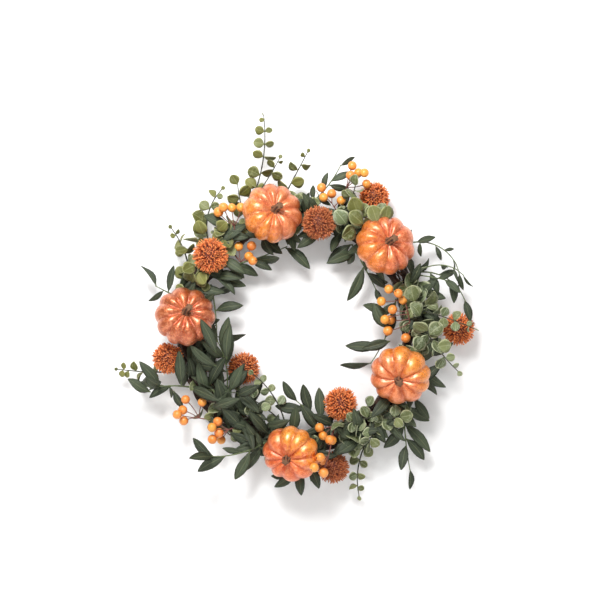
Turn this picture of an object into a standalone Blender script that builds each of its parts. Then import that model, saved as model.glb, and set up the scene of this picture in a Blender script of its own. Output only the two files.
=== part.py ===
"""Harvest door wreath: twisted vine ring, foam pumpkins, pompon mums, berries and leaf sprays.

Metres, +Z up. The wreath hangs flat on a door: the door is the plane Y = 0 and the front faces -Y.
The origin is on the door, level with the inside top of the hanging eye. Every decoration is placed
by its angle round the ring (0 is right, 90 is top) and its offset out from the ring's centre line.
"""

import math

import bmesh
import bpy
import numpy as np
from mathutils import Matrix, Vector
from mathutils.bvhtree import BVHTree

MM = 0.001
GAP = 0.4 * MM  # between pieces that touch on the real wreath
CLEAR = 0.8 * MM  # kept free round a leaf, a stalk or a berry
FORWARD = Vector((0, -1, 0))

# Vine ring
RING_RADIUS = 170 * MM
CANE_COUNT = 4
CANE_RADIUS = 7.2 * MM
CANE_OFFSET = 12 * MM  # of a cane's centre from the ring's centre line
CANE_TWISTS = 5
CANE_STEPS = 45
CANE_SIDES = 6
BUNDLE_RADIUS = CANE_OFFSET + CANE_RADIUS

# Bands round the canes, and the hanging eye on the top one
BAND_WIDTH = 5 * MM
BAND_THICKNESS = 1.2 * MM
BAND_SIDES = 16
BAND_ANGLES = {"band_left": 178, "band_right": -10}
EYE_RADIUS = 8 * MM
EYE_WIRE = 1.2 * MM
EYE_LEAN = 45  # degrees that the eye sits back from the top of its band
EYE_STEPS = 14
EYE_SIDES = 5
BAND_OUTER = BUNDLE_RADIUS + GAP + BAND_THICKNESS
RING_Y = -BAND_OUTER
EYE_CENTRE_Z = RING_RADIUS + BAND_OUTER * math.cos(math.radians(EYE_LEAN)) + EYE_RADIUS - EYE_WIRE
RING_DROP = EYE_CENTRE_Z + EYE_RADIUS - EYE_WIRE

# Pumpkins: (angle, offset, tilt, tilt direction, size)
PUMPKIN_RADIUS = 44.5 * MM
PUMPKIN_HALF_HEIGHT = 29 * MM
PUMPKIN_RIBS = 10
RIB_DEPTH = 0.07
SHOULDER = 0.8  # power of the cosine that rounds the side: below 1 is fuller than a ball
DIMPLE_DEPTH = 9 * MM
DIMPLE_SHARE = 0.42  # the dimple's radius over the pumpkin's
PUMPKIN_RINGS = 9
STEM_BASE = 7.5 * MM
STEM_HEIGHT = 17 * MM
STEM_CLEARANCE = 2 * MM
STUB_FLARES = (1.0, 0.62, 0.55, 0.66, 0.78)  # its radius over STEM_BASE, from its foot to its top
STUB_LEAN = (2.5 * MM, 1.2 * MM)  # how far its top leans
STUB_SIDES = 7
PUMPKINS = (
    (103.3, 6, 19, 50, 1.0),
    (45.3, 7, 18, 42, 1.0),
    (-24, -10, 22, 243, 1.0),
    (265.8, 10, 27, 227, 0.96),
    (173, -1, 22, 70, 1.0),
)

# Mums: (angle, offset, front, size), front being the centre's distance from the ring's middle plane
MUM_RADIUS = 24 * MM
MUM_FLATNESS = 0.8
MUM_WIRE = 1.6 * MM
MUM_WIRE_SIDES = 5
MUM_NUDGES = sorted((n / 2 for n in range(-24, 25)), key=abs)  # degrees
MUMS = (
    (140, 2, 42, 1.08),
    (80, -9, 44, 1.05),
    (60.7, 57, 14, 0.94),
    (0.4, 67, 6, 1.02),
    (299, -45, 22, 1.04),
    (283.6, 40, 14, 1.0),
    (192, 30, 28, 0.96),
    (214, -68, 2, 1.0),
)

# Sprays
STEM_RADIUS = 1.4 * MM
STALK_RADIUS = 0.9 * MM
STEM_STEP = 16 * MM
STEM_SIDES = 4
# Degrees that a blocked stem swings aside and millimetres that it is lifted, in the order tried
STEM_TRIES = [(swing, lift) for swing in (0, 8, -8, 16, -16)
              for lift in (0, 4, -4, 8, -8, 12, -12, 16, 20, -16, 26, 32)]
TIP_SHARE = 0.55  # a stem's radius at its tip, over that at its root
ROOTING = 1.6  # how far from a stem's tip its last leaf is rooted, in millimetres
LEAF_THICKNESS = 1.0 * MM
LEAF_BURIED = 0.3  # how far a leaf's base sits off its stem's middle, over the stem's radius
LEAF_ROLL = 12  # degrees about its own length, unless a shoot gives its own
SIDE_STEM_SHARE = 0.85  # a side stem's radius over the main stem's
BERRY_RADIUS = 7 * MM
BERRY_TRIES = (0, 20, -20, 38, -38, 55, -55, 72)  # degrees that a blocked berry is tilted
STALK_SIDES = 3
BEND_POSES = [step * 2.5 for step in range(13)]  # degrees: a wired spray is kept clear in each

# Kind: leaf width over length, widest width, where the widest stretch starts and ends
LEAF_SHAPES = {
    "olive": (0.42, 19 * MM, 0.28, 0.68),
    "eucalyptus": (0.92, 24 * MM, 0.26, 0.74),
}
# How a leaf that is in the way of something is turned aside, rolled and tilted, in the order tried
LEAF_TRIES = [(aside, times, tilt) for aside in (0, 14, -14, 28) for times in (1, -1, 3, -3)
              for tilt in (8, -8, 22, -22, 36, -36, 50, 64, -50, 78)]

# A branch: (start share of the main stem, heading, bend, length, rise, shoots). The first branch is
# the main stem, and its start is unused. A shoot: (share of the branch, turn from it, size, roll).
# Headings are degrees in the plane of the wreath, 0 right and 90 up. Lengths are in millimetres.
# A spray: name: (kind, angle, offset, bends, branches)
SPRAYS = {
    "berries_upper_left": ("berry", 126, -5, False, [
        (0, 90, 0, 22, 14, [(1, 49, 31), (1, 30, 33), (1, 8, 27), (1, -20, 29)])]),
    "berries_inner_left": ("berry", 131, -20, False, [
        (0, -50, 0, 16, 14, [(1, 147, 23), (1, 105, 29), (1, 83, 15), (1, 54, 24)])]),
    "berries_top": ("berry", 72, 13, False, [
        (0, 72, 0, 41, 14, [(1, 3, 33), (1, -1, 19), (1, -21, 28), (1, -34, 35), (1, -62, 30)]),
        (0, 125, 0, 20, 16, [(1, -2, 27), (1, 20, 14), (0.9, -35, 16), (0.6, -83, 14)])]),
    "berries_right": ("berry", 0, -4, False, [
        (0, 105, 0, 50, 22, [
            (1, 43, 27), (1, 35, 16), (1, 81, 34), (0.6, 70, 22), (0.75, 15, 10), (0.5, 88, 35),
            (0.35, 78, 29), (0.25, 96, 35), (0.1, 139, 18)])]),
    "berries_low_left": ("berry", 226, 16, False, [
        (0, 170, 0, 22, 10, [(1, -44, 34), (1, -91, 24), (1, -16, 27), (1, -1, 34), (1, 20, 23)])]),
    "berries_bottom_left": ("berry", 240, -10, False, [
        (0, 197, 0, 28, 14, [(1, -53, 20), (1, -26, 26), (1, 2, 15), (1, 14, 28), (1, 38, 26)])]),
    "berries_bottom": ("berry", -72, -10, False, [
        (0, -105, 0, 34, 46, [(1, -75, 15), (1, -42, 31), (1, -33, 18), (1, -1, 24), (1, 0, 33)]),
        (0, 80, 0, 14, 14, [(1, 108, 23), (1, 141, 23), (1, 179, 22), (1, 168, 27)])]),

    "olive_top": ("olive", 86, 17, False, [
        (0, 38, 26, 76, 10, [
            (0.12, 50, 24), (0.4, 28, 28), (0.55, -62, 31), (0.62, -28, 34, 40), (1, -32, 26, 35),
            (0.2, -70, 24)])]),
    "olive_top_right": ("olive", 40, 20, True, [
        (0, 33, -112, 118, 6, [
            (0.12, 50, 24), (0.25, 10, 30, 30), (0.3, -84, 22, 30), (0.5, -46, 24, 40), (0.62, 42, 16),
            (0.8, -30, 18, 50), (1, 4, 26, 40)])]),
    "olive_right": ("olive", 27, 14, False, [
        (0, 18, -88, 100, 4, [
            (0.04, 30, 34), (0.3, -62, 34), (0.42, 30, 30), (0.62, -44, 34), (0.75, 26, 26), (1, -6, 34)]),
        (0.1, 42, -90, 74, 16, [(0.5, -8, 24, 50), (0.75, -50, 20, 40), (1, 0, 24, 45)]),
        (0, -6, -10, 66, 20, [(0.62, 30, 22), (0.78, -28, 31), (1, -12, 34, 20)])]),
    "olive_inner_right": ("olive", 18, -19, False, [
        (0, -98, -28, 105, 8, [
            (0.05, -43, 33), (0.14, -34, 45), (0.3, -22, 44), (0.46, -70, 28), (0.7, -62, 54),
            (1, -50, 47, 40)])]),
    "olive_right_low": ("olive", -17, 20, False, [
        (0, -100, -10, 52, 8, [(0.02, 62, 48), (0.4, 66, 34), (0.9, 55, 38, 35)])]),
    "olive_hanging": ("olive", -35, 22, True, [
        (0, -92, 13, 100, 10, [
            (0.06, 62, 44), (0.04, 3, 37), (0.25, -42, 13), (0.3, 40, 57), (0.34, -45, 46),
            (0.52, 36, 44), (0.62, -20, 40), (1, -12, 30)])]),
    "olive_inner_bottom": ("olive", -73, -20, False, [
        (0, 145, -6, 62, 12, [
            (0.25, -50, 49), (0.55, -36, 45), (0.7, 34, 47), (1, -14, 38), (0.05, -80, 40)])]),
    "olive_bottom": ("olive", -80, 20, False, [
        (0, -140, -20, 60, 4, [(0.1, 78, 36), (0.25, 46, 30), (0.6, 54, 24), (1, -18, 26)])]),
    "olive_bottom_left": ("olive", 253, 4, True, [
        (0, 208, -30, 82, 26, [
            (0.05, 28, 52), (0.12, -48, 48), (0.3, 44, 51), (0.46, -28, 29), (0.74, 24, 49),
            (0.96, -42, 41), (1, 0, 49)])]),
    "olive_left_low": ("olive", 207, 16, False, [
        (0, 172, 18, 58, 8, [
            (0.12, -70, 56), (0.5, 100, 18, 40), (0.56, 16, 33, 40), (0.75, -54, 51), (1, -36, 39, 30)]),
        (0, -6, 0, 76, 12, [(0.04, -16, 60), (0.5, -38, 46), (0.78, 52, 44), (1, -36, 45)])]),
    "olive_inner_left": ("olive", 222, -20, False, [
        (0, 76, 42, 86, 20, [
            (0.45, 70, 48), (0.55, -20, 50), (0.7, 36, 51), (0.8, -30, 54), (1, -8, 53), (0.3, -58, 40)])]),
    "olive_inner_left_top": ("olive", 153, -20, False, [
        (0, -76, -14, 80, 8, [(0.15, 102, 41, 30), (0.5, 94, 43), (1, 94, 44), (0.75, -60, 30)])]),
    "olive_left": ("olive", 165, 20, False, [
        (0, 152, 0, 36, 10, [
            (0.15, -90, 26, 35), (0.4, -74, 42, 50), (0.35, 84, 22), (0.6, 62, 28, 35),
            (1, -24, 40, 40)])]),
    "olive_inner_top_left": ("olive", 141, -21, False, [
        (0, 12, 12, 102, 6, [
            (0.12, -34, 44), (0.42, -42, 36), (0.5, -32, 56), (0.96, -64, 50), (0.7, 40, 30)])]),
    "olive_inner_top_right": ("olive", 59, -20, False, [
        (0, -60, -4, 76, 4, [
            (0, -82, 46), (0.18, -98, 52), (0.5, -54, 58), (1, -4, 26), (0.72, 44, 30), (0.1, -50, 30)])]),

    "eucalyptus_crown": ("eucalyptus", 116, 20, True, [
        (0, 61, 36, 155, 8, [
            (0.16, 70, 20), (0.3, 75, 20), (0.3, -70, 14, 60), (0.42, 80, 20), (0.44, -60, 20),
            (0.6, 75, 17),
            (0.6, -85, 19, 50), (0.72, 85, 17), (0.72, -80, 14), (0.84, 70, 15), (0.84, -75, 12, 40),
            (0.94, 60, 8), (0.96, -60, 7), (1, 0, 6)]),
        (0.12, 52, 10, 84, 14, [
            (0.3, 70, 16), (0.5, -60, 18), (0.7, -100, 18, 50), (0.8, 70, 15), (0.92, -50, 8), (1, 0, 7)]),
        (0, 108, -12, 50, 8, [(0.3, 60, 14), (0.55, 70, 19), (0.65, -60, 21), (1, 25, 17)])]),
    "eucalyptus_top": ("eucalyptus", 99, 21, False, [
        (0, 62, 0, 88, 6, [
            (0.3, 80, 20), (0.4, -50, 20), (0.52, -120, 20, 50), (0.65, 70, 17), (0.75, -60, 15),
            (0.9, 60, 8), (1, 0, 7)])]),
    "eucalyptus_top_right": ("eucalyptus", 66, 4, False, [
        (0, 82, -6, 56, 22, [
            (0.2, 80, 21), (0.35, 70, 18), (0.45, -65, 19), (0.7, 75, 18), (0.85, -60, 15), (1, 10, 18)]),
        (0.1, 4, 6, 50, 26, [
            (0.15, -50, 18), (0.3, 50, 25), (0.5, -60, 16), (0.6, 60, 17), (0.85, -50, 16), (0.9, 45, 19),
            (1, 0, 26, 40)])]),
    "eucalyptus_right": ("eucalyptus", 24, 2, False, [
        (0, -76, 32, 152, 26, [
            (0.02, 100, 20), (0.05, -80, 16), (0.14, 70, 22), (0.16, -70, 17), (0.26, -60, 17),
            (0.28, 75, 17),
            (0.4, 70, 20), (0.42, -70, 18), (0.54, -65, 19), (0.55, 65, 15), (0.68, 60, 22),
            (0.69, -60, 15),
            (0.8, -70, 20), (0.82, 60, 14), (0.92, 60, 10), (1, 0, 9)]),
        (0.26, -14, -10, 92, 26, [
            (0.3, 60, 18), (0.45, 75, 15), (0.48, -70, 16), (0.64, 70, 16, 50), (0.67, -65, 15),
            (0.86, 60, 9),
            (0.9, -60, 9), (1, 0, 8)])]),
    "eucalyptus_bottom_right": ("eucalyptus", -49, 0, False, [
        (0, 186, 10, 48, 20, [
            (0.25, -75, 19), (0.35, 60, 19), (0.65, -60, 16), (0.7, 65, 16), (1, 10, 22)]),
        (0, -8, 20, 38, 22, [(0.2, 80, 16), (0.35, -60, 21), (0.75, 75, 18), (0.8, -60, 17), (1, 0, 21)]),
        (0, -100, -10, 42, 16, [
            (0.4, 60, 19), (0.5, -60, 17), (0.8, 70, 17), (0.85, -65, 16), (1, 0, 16)])]),
    "eucalyptus_bottom_sprig": ("eucalyptus", -57, 21, True, [
        (0, -122, 44, 92, 6, [
            (0.18, -60, 16), (0.2, 70, 17), (0.4, -60, 16), (0.42, 65, 14), (0.62, 60, 13), (0.64, -65, 14),
            (0.82, -65, 14), (0.84, 60, 10), (1, 0, 8)])]),
    "eucalyptus_left": ("eucalyptus", 199, 20, True, [
        (0, 184, -12, 94, 4, [
            (0.36, -80, 16), (0.38, 70, 12, 40), (0.58, 70, 18, 50), (0.7, -75, 15), (0.82, 80, 11, 50),
            (0.9, -85, 11, 50), (0.91, 85, 11, 50), (1, 0, 6)])]),
    "eucalyptus_upper_left_low": ("eucalyptus", 151, 21, False, [
        (0, 98, 30, 66, 6, [
            (0.05, 85, 16), (0.12, -60, 20), (0.34, -60, 20, 60), (0.36, 70, 14), (0.56, 70, 16),
            (0.6, -55, 15),
            (0.8, 60, 9), (0.82, -60, 9), (1, 0, 7)])]),
    "eucalyptus_upper_left": ("eucalyptus", 136, 21, False, [
        (0, 104, -58, 84, 10, [
            (0.1, 60, 22), (0.3, 55, 22), (0.42, 80, 12, 50), (0.44, -70, 15, 50), (0.58, 75, 18),
            (0.62, -60, 14),
            (0.8, 70, 15), (0.84, -60, 10), (1, 0, 7)])]),
    "eucalyptus_inner_bottom": ("eucalyptus", 262, -20, False, [
        (0, 98, 44, 100, 8, [
            (0.4, -60, 16), (0.46, 60, 17), (0.62, -50, 12), (0.64, 60, 14), (0.8, -60, 12), (0.82, 60, 12),
            (1, 0, 9)]),
        (0.08, 135, 16, 88, 20, [
            (0.2, 60, 16), (0.35, -50, 16), (0.5, 60, 16), (0.72, -60, 20), (0.76, 60, 14), (1, 0, 15)])]),
    "eucalyptus_low_left": ("eucalyptus", 235, -4, False, [
        (0, 22, 8, 44, 14, [(0.2, 90, 17), (0.5, 60, 19), (0.6, -60, 15), (1, 0, 15)])]),
}


def clear_scene():
    """Remove what the scene holds."""
    for old in list(bpy.data.objects):
        bpy.data.objects.remove(old)


def material(name, colour, roughness, metallic=0.0):
    """A Principled material."""
    made = bpy.data.materials.new(name)
    made.use_nodes = True
    shader = made.node_tree.nodes["Principled BSDF"]
    shader.inputs["Base Color"].default_value = (*colour, 1)
    shader.inputs["Roughness"].default_value = roughness
    shader.inputs["Metallic"].default_value = metallic
    made.diffuse_color = (*colour, 1)
    return made


def radial(angle):
    """Unit vector out from the ring's centre at an angle in degrees."""
    turn = math.radians(angle)
    return Vector((math.cos(turn), 0, math.sin(turn)))


class Model:
    """The objects made so far, with a search tree of each solid for clearance tests."""

    def __init__(self):
        self.centre = bpy.data.objects.new("wreath_centre", None)
        bpy.context.scene.collection.objects.link(self.centre)
        self.centre.location = (0, RING_Y, -RING_DROP)
        self.placed = []

    def add(self, name, mesh, finish, origin=Vector(), parent=None):
        """Link a mesh given about the ring's centre, with its origin moved to a point of its own."""
        mesh.transform(Matrix.Translation(-origin))
        mesh.name = name
        mesh.materials.clear()
        mesh.materials.append(finish)
        piece = bpy.data.objects.new(name, mesh)
        bpy.context.scene.collection.objects.link(piece)
        piece.parent = parent or self.centre
        piece.location = origin if parent is None else Vector()
        return piece

    def occupy(self, mesh, solid=False, poses=(Matrix(),)):
        """Keep later pieces clear of this mesh, at each of its poses."""
        for pose in poses:
            points = [pose @ v.co for v in mesh.vertices]
            faces = [tuple(p.vertices) for p in mesh.polygons]
            tree = BVHTree.FromPolygons(points, faces)
            spots = np.array(points)
            self.placed.append((tree, spots.min(axis=0), spots.max(axis=0), solid))

    def is_clear(self, points, faces, poses=(Matrix(),)):
        """Whether a closed shape meets nothing placed, at each of its poses."""
        for pose in poses:
            moved = [pose @ p for p in points]
            spots = np.array(moved)
            low, high = spots.min(axis=0), spots.max(axis=0)
            if high[1] > -RING_Y - GAP:
                return False
            tree = None
            for other, other_low, other_high, solid in self.placed:
                if (low > other_high).any() or (high < other_low).any():
                    continue
                tree = tree or BVHTree.FromPolygons(moved, faces)
                if tree.overlap(other):
                    return False
                if solid and inside(other, Vector(spots.mean(axis=0))):
                    return False
        return True


def inside(tree, point):
    """Whether a point lies inside a closed tree of outward faces."""
    near, normal, _, _ = tree.find_nearest(point)
    return (point - near).dot(normal) < 0


def mesh_from(points, faces):
    """A mesh from points and faces."""
    mesh = bpy.data.meshes.new("mesh")
    mesh.from_pydata([tuple(p) for p in points], [], faces)
    mesh.update()
    return mesh


def smooth(mesh, angle=40):
    """Smooth shading with edges sharper than an angle kept."""
    mesh.shade_smooth()
    mesh.set_sharp_from_angle(angle=math.radians(angle))


def tube_faces(rings, sides, closed=False):
    """Quads between the rings of a tube, with end caps unless it closes on itself."""
    faces = []
    for ring in range(rings if closed else rings - 1):
        here, there = ring * sides, (ring + 1) % rings * sides
        for side in range(sides):
            after = (side + 1) % sides
            faces.append((here + side, here + after, there + after, there + side))
    if not closed:
        faces.append(tuple(reversed(range(sides))))
        faces.append(tuple(range((rings - 1) * sides, rings * sides)))
    return faces


def tube(path, start_radius, end_radius, sides):
    """A capped tube along a path, as points and faces."""
    count = len(path)
    points = []
    for i, spot in enumerate(path):
        along = (path[min(i + 1, count - 1)] - path[max(i - 1, 0)]).normalized()
        across = along.cross(FORWARD)
        if across.length < 0.1:
            across = along.cross(Vector((1, 0, 0)))
        across.normalize()
        up = across.cross(along)
        radius = start_radius + (end_radius - start_radius) * i / (count - 1)
        for k in range(sides):
            turn = 2 * math.pi * (k + 0.5) / sides
            points.append(spot + radius * (math.cos(turn) * across - math.sin(turn) * up))
    return points, tube_faces(count, sides)


def hoop(steps, sides, section):
    """A closed tube: section(i) gives the ring of points at step i of its round."""
    points = []
    for step in range(steps):
        points += section(step)
    return mesh_from(points, tube_faces(steps, sides, closed=True))


def outward(mesh):
    """Recalculate the faces of a closed mesh so that they point out."""
    work = bmesh.new()
    work.from_mesh(mesh)
    bmesh.ops.recalc_face_normals(work, faces=work.faces)
    work.to_mesh(mesh)
    work.free()
    return mesh


def union(meshes):
    """One closed mesh from several that cross each other."""
    scene = bpy.context.scene.collection
    others = bpy.data.collections.new("union_parts")
    parts = [bpy.data.objects.new("union_part", mesh) for mesh in meshes]
    scene.objects.link(parts[0])
    for part in parts[1:]:
        others.objects.link(part)
    join = parts[0].modifiers.new("join", "BOOLEAN")
    join.operation = "UNION"
    join.operand_type = "COLLECTION"
    join.collection = others
    depsgraph = bpy.context.evaluated_depsgraph_get()
    joined = bpy.data.meshes.new_from_object(parts[0].evaluated_get(depsgraph))
    for part in parts:
        bpy.data.objects.remove(part)
    bpy.data.collections.remove(others)
    return joined


def vine_cane(index):
    """One cane, winding round the ring's centre line."""
    def section(step):
        turn = 360 * step / CANE_STEPS
        phase = math.radians(CANE_TWISTS * turn + 360 * index / CANE_COUNT)
        out = radial(turn)
        middle = out * (RING_RADIUS + CANE_OFFSET * math.cos(phase))
        middle += FORWARD * CANE_OFFSET * math.sin(phase)
        ring = []
        for k in range(CANE_SIDES):
            spin = 2 * math.pi * k / CANE_SIDES + phase
            ring.append(middle + CANE_RADIUS * (math.cos(spin) * out + math.sin(spin) * FORWARD))
        return ring

    return outward(hoop(CANE_STEPS, CANE_SIDES, section))


def band(angle):
    """A flat strap round the canes."""
    out = radial(angle)
    along = out.cross(FORWARD)
    half = BAND_WIDTH / 2
    inner = BUNDLE_RADIUS + GAP
    outer = inner + BAND_THICKNESS
    flat = 1 / math.cos(math.pi / BAND_SIDES)

    def section(step):
        spin = 2 * math.pi * (step + 0.5) / BAND_SIDES
        spoke = math.cos(spin) * out + math.sin(spin) * FORWARD
        middle = out * RING_RADIUS
        corners = ((inner, -half), (outer, -half), (outer, half), (inner, half))
        return [middle + spoke * reach * flat + along * side for reach, side in corners]

    return outward(hoop(BAND_SIDES, 4, section))


def hanging_eye():
    """The wire eye that stands on the top band."""
    lean = math.radians(EYE_LEAN)
    middle = Vector((0, BAND_OUTER * math.sin(lean), EYE_CENTRE_Z))

    def section(step):
        spin = 2 * math.pi * (step + 0.5) / EYE_STEPS
        spoke = Vector((math.cos(spin), 0, math.sin(spin)))
        ring = []
        for k in range(EYE_SIDES):
            turn = 2 * math.pi * k / EYE_SIDES
            ring.append(middle + spoke * (EYE_RADIUS + EYE_WIRE * math.cos(turn))
                        - FORWARD * (EYE_WIRE * math.sin(turn) - EYE_WIRE))
        return ring

    return outward(hoop(EYE_STEPS, EYE_SIDES, section))


def pumpkin_frame(angle, offset, tilt, tilt_direction, size):
    """The placing of a pumpkin: its axis leans from forward, and its back rests on the bands."""
    lean = math.radians(tilt)
    back = math.hypot(PUMPKIN_HALF_HEIGHT * math.cos(lean), PUMPKIN_RADIUS * math.sin(lean)) * size
    spot = radial(angle) * (RING_RADIUS + offset * MM) + FORWARD * (BAND_OUTER + GAP + back)
    axis = FORWARD * math.cos(lean) + radial(tilt_direction) * math.sin(lean)
    turn = Vector((0, 0, 1)).rotation_difference(axis).to_matrix().to_4x4()
    return Matrix.Translation(spot) @ turn @ Matrix.Scale(size, 4)


def pumpkin_floor():
    """Height of the flat floor of the dimple above the pumpkin's middle."""
    return PUMPKIN_HALF_HEIGHT - DIMPLE_DEPTH


def pumpkin_shell():
    """A ribbed flattened ball with a dimple at each end and a flat floor under the stem."""
    sides = 2 * PUMPKIN_RIBS
    floor_radius = STEM_BASE + STEM_CLEARANCE
    points = [Vector((0, 0, -pumpkin_floor()))]
    for ring in range(1, PUMPKIN_RINGS):
        rise = math.radians(-90 + 180 * ring / PUMPKIN_RINGS)
        reach = PUMPKIN_RADIUS * math.cos(rise) ** SHOULDER
        dip = DIMPLE_DEPTH * math.exp(-((reach / (DIMPLE_SHARE * PUMPKIN_RADIUS)) ** 2))
        height = math.sin(rise) * PUMPKIN_HALF_HEIGHT - math.copysign(dip, rise)
        if ring in (1, PUMPKIN_RINGS - 1):
            reach = floor_radius
            height = math.copysign(pumpkin_floor(), rise)
        for side in range(sides):
            turn = 2 * math.pi * side / sides
            groove = 1 if reach == floor_radius else 1 - RIB_DEPTH * (side % 2)
            across = reach * groove
            points.append(Vector((math.cos(turn) * across, math.sin(turn) * across, height)))
    points.append(Vector((0, 0, pumpkin_floor())))
    last = len(points) - 1
    faces = [(0, 1 + (side + 1) % sides, 1 + side) for side in range(sides)]
    for ring in range(PUMPKIN_RINGS - 2):
        here, there = 1 + ring * sides, 1 + (ring + 1) * sides
        for side in range(sides):
            after = (side + 1) % sides
            faces.append((here + side, here + after, there + after, there + side))
    top = last - sides
    faces += [(last, top + side, top + (side + 1) % sides) for side in range(sides)]
    return outward(mesh_from(points, faces))


def pumpkin_stem():
    """A short stub that curves to one side, standing on the floor of the dimple."""
    base = pumpkin_floor() + GAP
    points = []
    for i, flare in enumerate(STUB_FLARES):
        share = i / (len(STUB_FLARES) - 1)
        spot = Vector((STUB_LEAN[0] * share ** 2, STUB_LEAN[1] * share, base + STEM_HEIGHT * share))
        for k in range(STUB_SIDES):
            turn = 2 * math.pi * k / STUB_SIDES
            points.append(spot + STEM_BASE * flare * Vector((math.cos(turn), math.sin(turn), 0)))
    return outward(mesh_from(points, tube_faces(len(STUB_FLARES), STUB_SIDES)))


def mum(angle, offset, front, size):
    """A flattened ball on a wire that ends at the canes."""
    radius = MUM_RADIUS * size
    work = bmesh.new()
    bmesh.ops.create_icosphere(work, subdivisions=2, radius=1)
    ball = bpy.data.meshes.new("ball")
    work.to_mesh(ball)
    work.free()
    spot = radial(angle) * (RING_RADIUS + offset * MM) + FORWARD * front * MM
    ball.transform(Matrix.Translation(spot) @ Matrix.Diagonal((radius, radius * MUM_FLATNESS, radius, 1)))
    core = radial(angle) * RING_RADIUS
    way = (core - spot).normalized()
    foot = core - way * (BUNDLE_RADIUS + GAP + MUM_WIRE)
    if (foot - spot).length < radius:
        return ball
    points, faces = tube([spot, (spot + foot) / 2, foot], MUM_WIRE, MUM_WIRE, MUM_WIRE_SIDES)
    return union([ball, outward(mesh_from(points, faces))])


def clear_mum(model, angle, *rest):
    """A mum at the nearest angle to its own that is clear of what is placed."""
    for nudge in MUM_NUDGES:
        mesh = mum(angle + nudge, *rest)
        if model.is_clear([v.co for v in mesh.vertices], [tuple(p.vertices) for p in mesh.polygons]):
            return mesh
    raise ValueError(f"no room for the mum at {angle} degrees")


def stem_root(angle, offset):
    """The point on the bundle's front where a stem of this offset is fixed."""
    reach = BUNDLE_RADIUS + GAP + STEM_RADIUS
    out = max(-reach, min(reach, offset * MM))
    return radial(angle) * (RING_RADIUS + out) + FORWARD * math.sqrt(reach ** 2 - out ** 2)


def stem_path(root, heading, bend, length, rise):
    """Points of a stem that bends evenly in the wreath's plane while it rises forward and levels."""
    steps = max(2, round(length * MM / STEM_STEP))
    path = [root]
    spot = root.copy()
    for i in range(steps):
        spot = spot + radial(heading + bend * (i + 0.5) / steps) * length * MM / steps
        lift = rise * MM * math.sin(math.pi / 2 * (i + 1) / steps)
        path.append(Vector((spot.x, root.y - lift, spot.z)))
    return path


def on_path(path, share):
    """A point of a path at a share of its length, kept a little short of its end."""
    place = min(share * (len(path) - 1), len(path) - 1 - ROOTING * MM / STEM_STEP)
    i = min(int(place), len(path) - 2)
    return path[i].lerp(path[i + 1], place - i)


def leaf_points(kind, base, heading, tilt, roll, size, spare):
    """A six-sided leaf plate from its base; spare swells it for a clearance test."""
    share, widest, low, high = LEAF_SHAPES[kind]
    half = min(size * MM * share, widest) / 2 + spare
    lean, spin = math.radians(tilt), math.radians(roll)
    flat = radial(heading)
    along = flat * math.cos(lean) + FORWARD * math.sin(lean)
    across = along.cross(FORWARD).normalized()
    face = across.cross(along)
    side = across * math.cos(spin) + face * math.sin(spin)
    normal = side.cross(along) * (LEAF_THICKNESS / 2 + spare)
    length = size * MM
    outline = [base, base + along * length * low + side * half, base + along * length * high + side * half,
               base + along * (length + spare), base + along * length * high - side * half,
               base + along * length * low - side * half]
    return [p + normal for p in outline] + [p - normal for p in outline]


LEAF_FACES = [(5, 4, 3, 2, 1, 0), (6, 7, 8, 9, 10, 11)] + [
    (i, (i + 1) % 6, 6 + (i + 1) % 6, 6 + i) for i in range(6)]


def add_leaf(model, kind, path, heading, shoot, index, poses, own):
    """A leaf at the first tilt that is clear of everything, or nothing."""
    share, turn, size = shoot[:3]
    roll = shoot[3] if len(shoot) > 3 else LEAF_ROLL
    beyond = STEM_RADIUS + CLEAR
    flip = 1 if index % 2 else -1
    for aside, times, tilt in LEAF_TRIES:
        flat = heading + turn + aside
        base = on_path(path, share) + radial(flat) * STEM_RADIUS * LEAF_BURIED
        pose = (flat, tilt * flip, roll * times * flip)
        if not model.is_clear(leaf_points(kind, base, *pose, size, CLEAR), LEAF_FACES, poses):
            continue
        outer = leaf_points(kind, base + radial(flat) * beyond, *pose, size - beyond / MM, CLEAR)
        if meets(own, outer, LEAF_FACES):
            continue
        own.append((outer, LEAF_FACES))
        return [outward(mesh_from(leaf_points(kind, base, *pose, size, 0), LEAF_FACES))]
    return []


def meets(own, points, faces):
    """Whether a shape meets one of those that this spray already has."""
    tree = BVHTree.FromPolygons(points, faces)
    return any(tree.overlap(BVHTree.FromPolygons(*shape)) for shape in own)


def add_berry(model, path, heading, shoot, index, poses, own):
    """A berry on its stalk, at the first tilt that is clear of everything, or nothing."""
    share, turn, size = shoot[:3]
    base = on_path(path, share)
    flip = 1 if index % 2 else -1
    for tilt in BERRY_TRIES:
        lean = math.radians(tilt * flip)
        along = radial(heading + turn) * math.cos(lean) + FORWARD * math.sin(lean)
        middle = base + along * size * MM
        work = bmesh.new()
        bmesh.ops.create_icosphere(work, subdivisions=1, radius=1)
        ball = bpy.data.meshes.new("ball")
        work.to_mesh(ball)
        work.free()
        faces = [tuple(p.vertices) for p in ball.polygons]
        swollen = [middle + v.co * (BERRY_RADIUS + CLEAR) for v in ball.vertices]
        if not model.is_clear(swollen, faces, poses) or meets(own, swollen, faces):
            continue
        stalk = tube([base, (base + middle) / 2, middle], STALK_RADIUS, STALK_RADIUS, STALK_SIDES)
        if not model.is_clear(*stalk, poses):
            continue
        own.append((swollen, faces))
        ball.transform(Matrix.Translation(middle) @ Matrix.Scale(BERRY_RADIUS, 4))
        return [outward(ball), outward(mesh_from(*stalk))]
    return []


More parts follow.
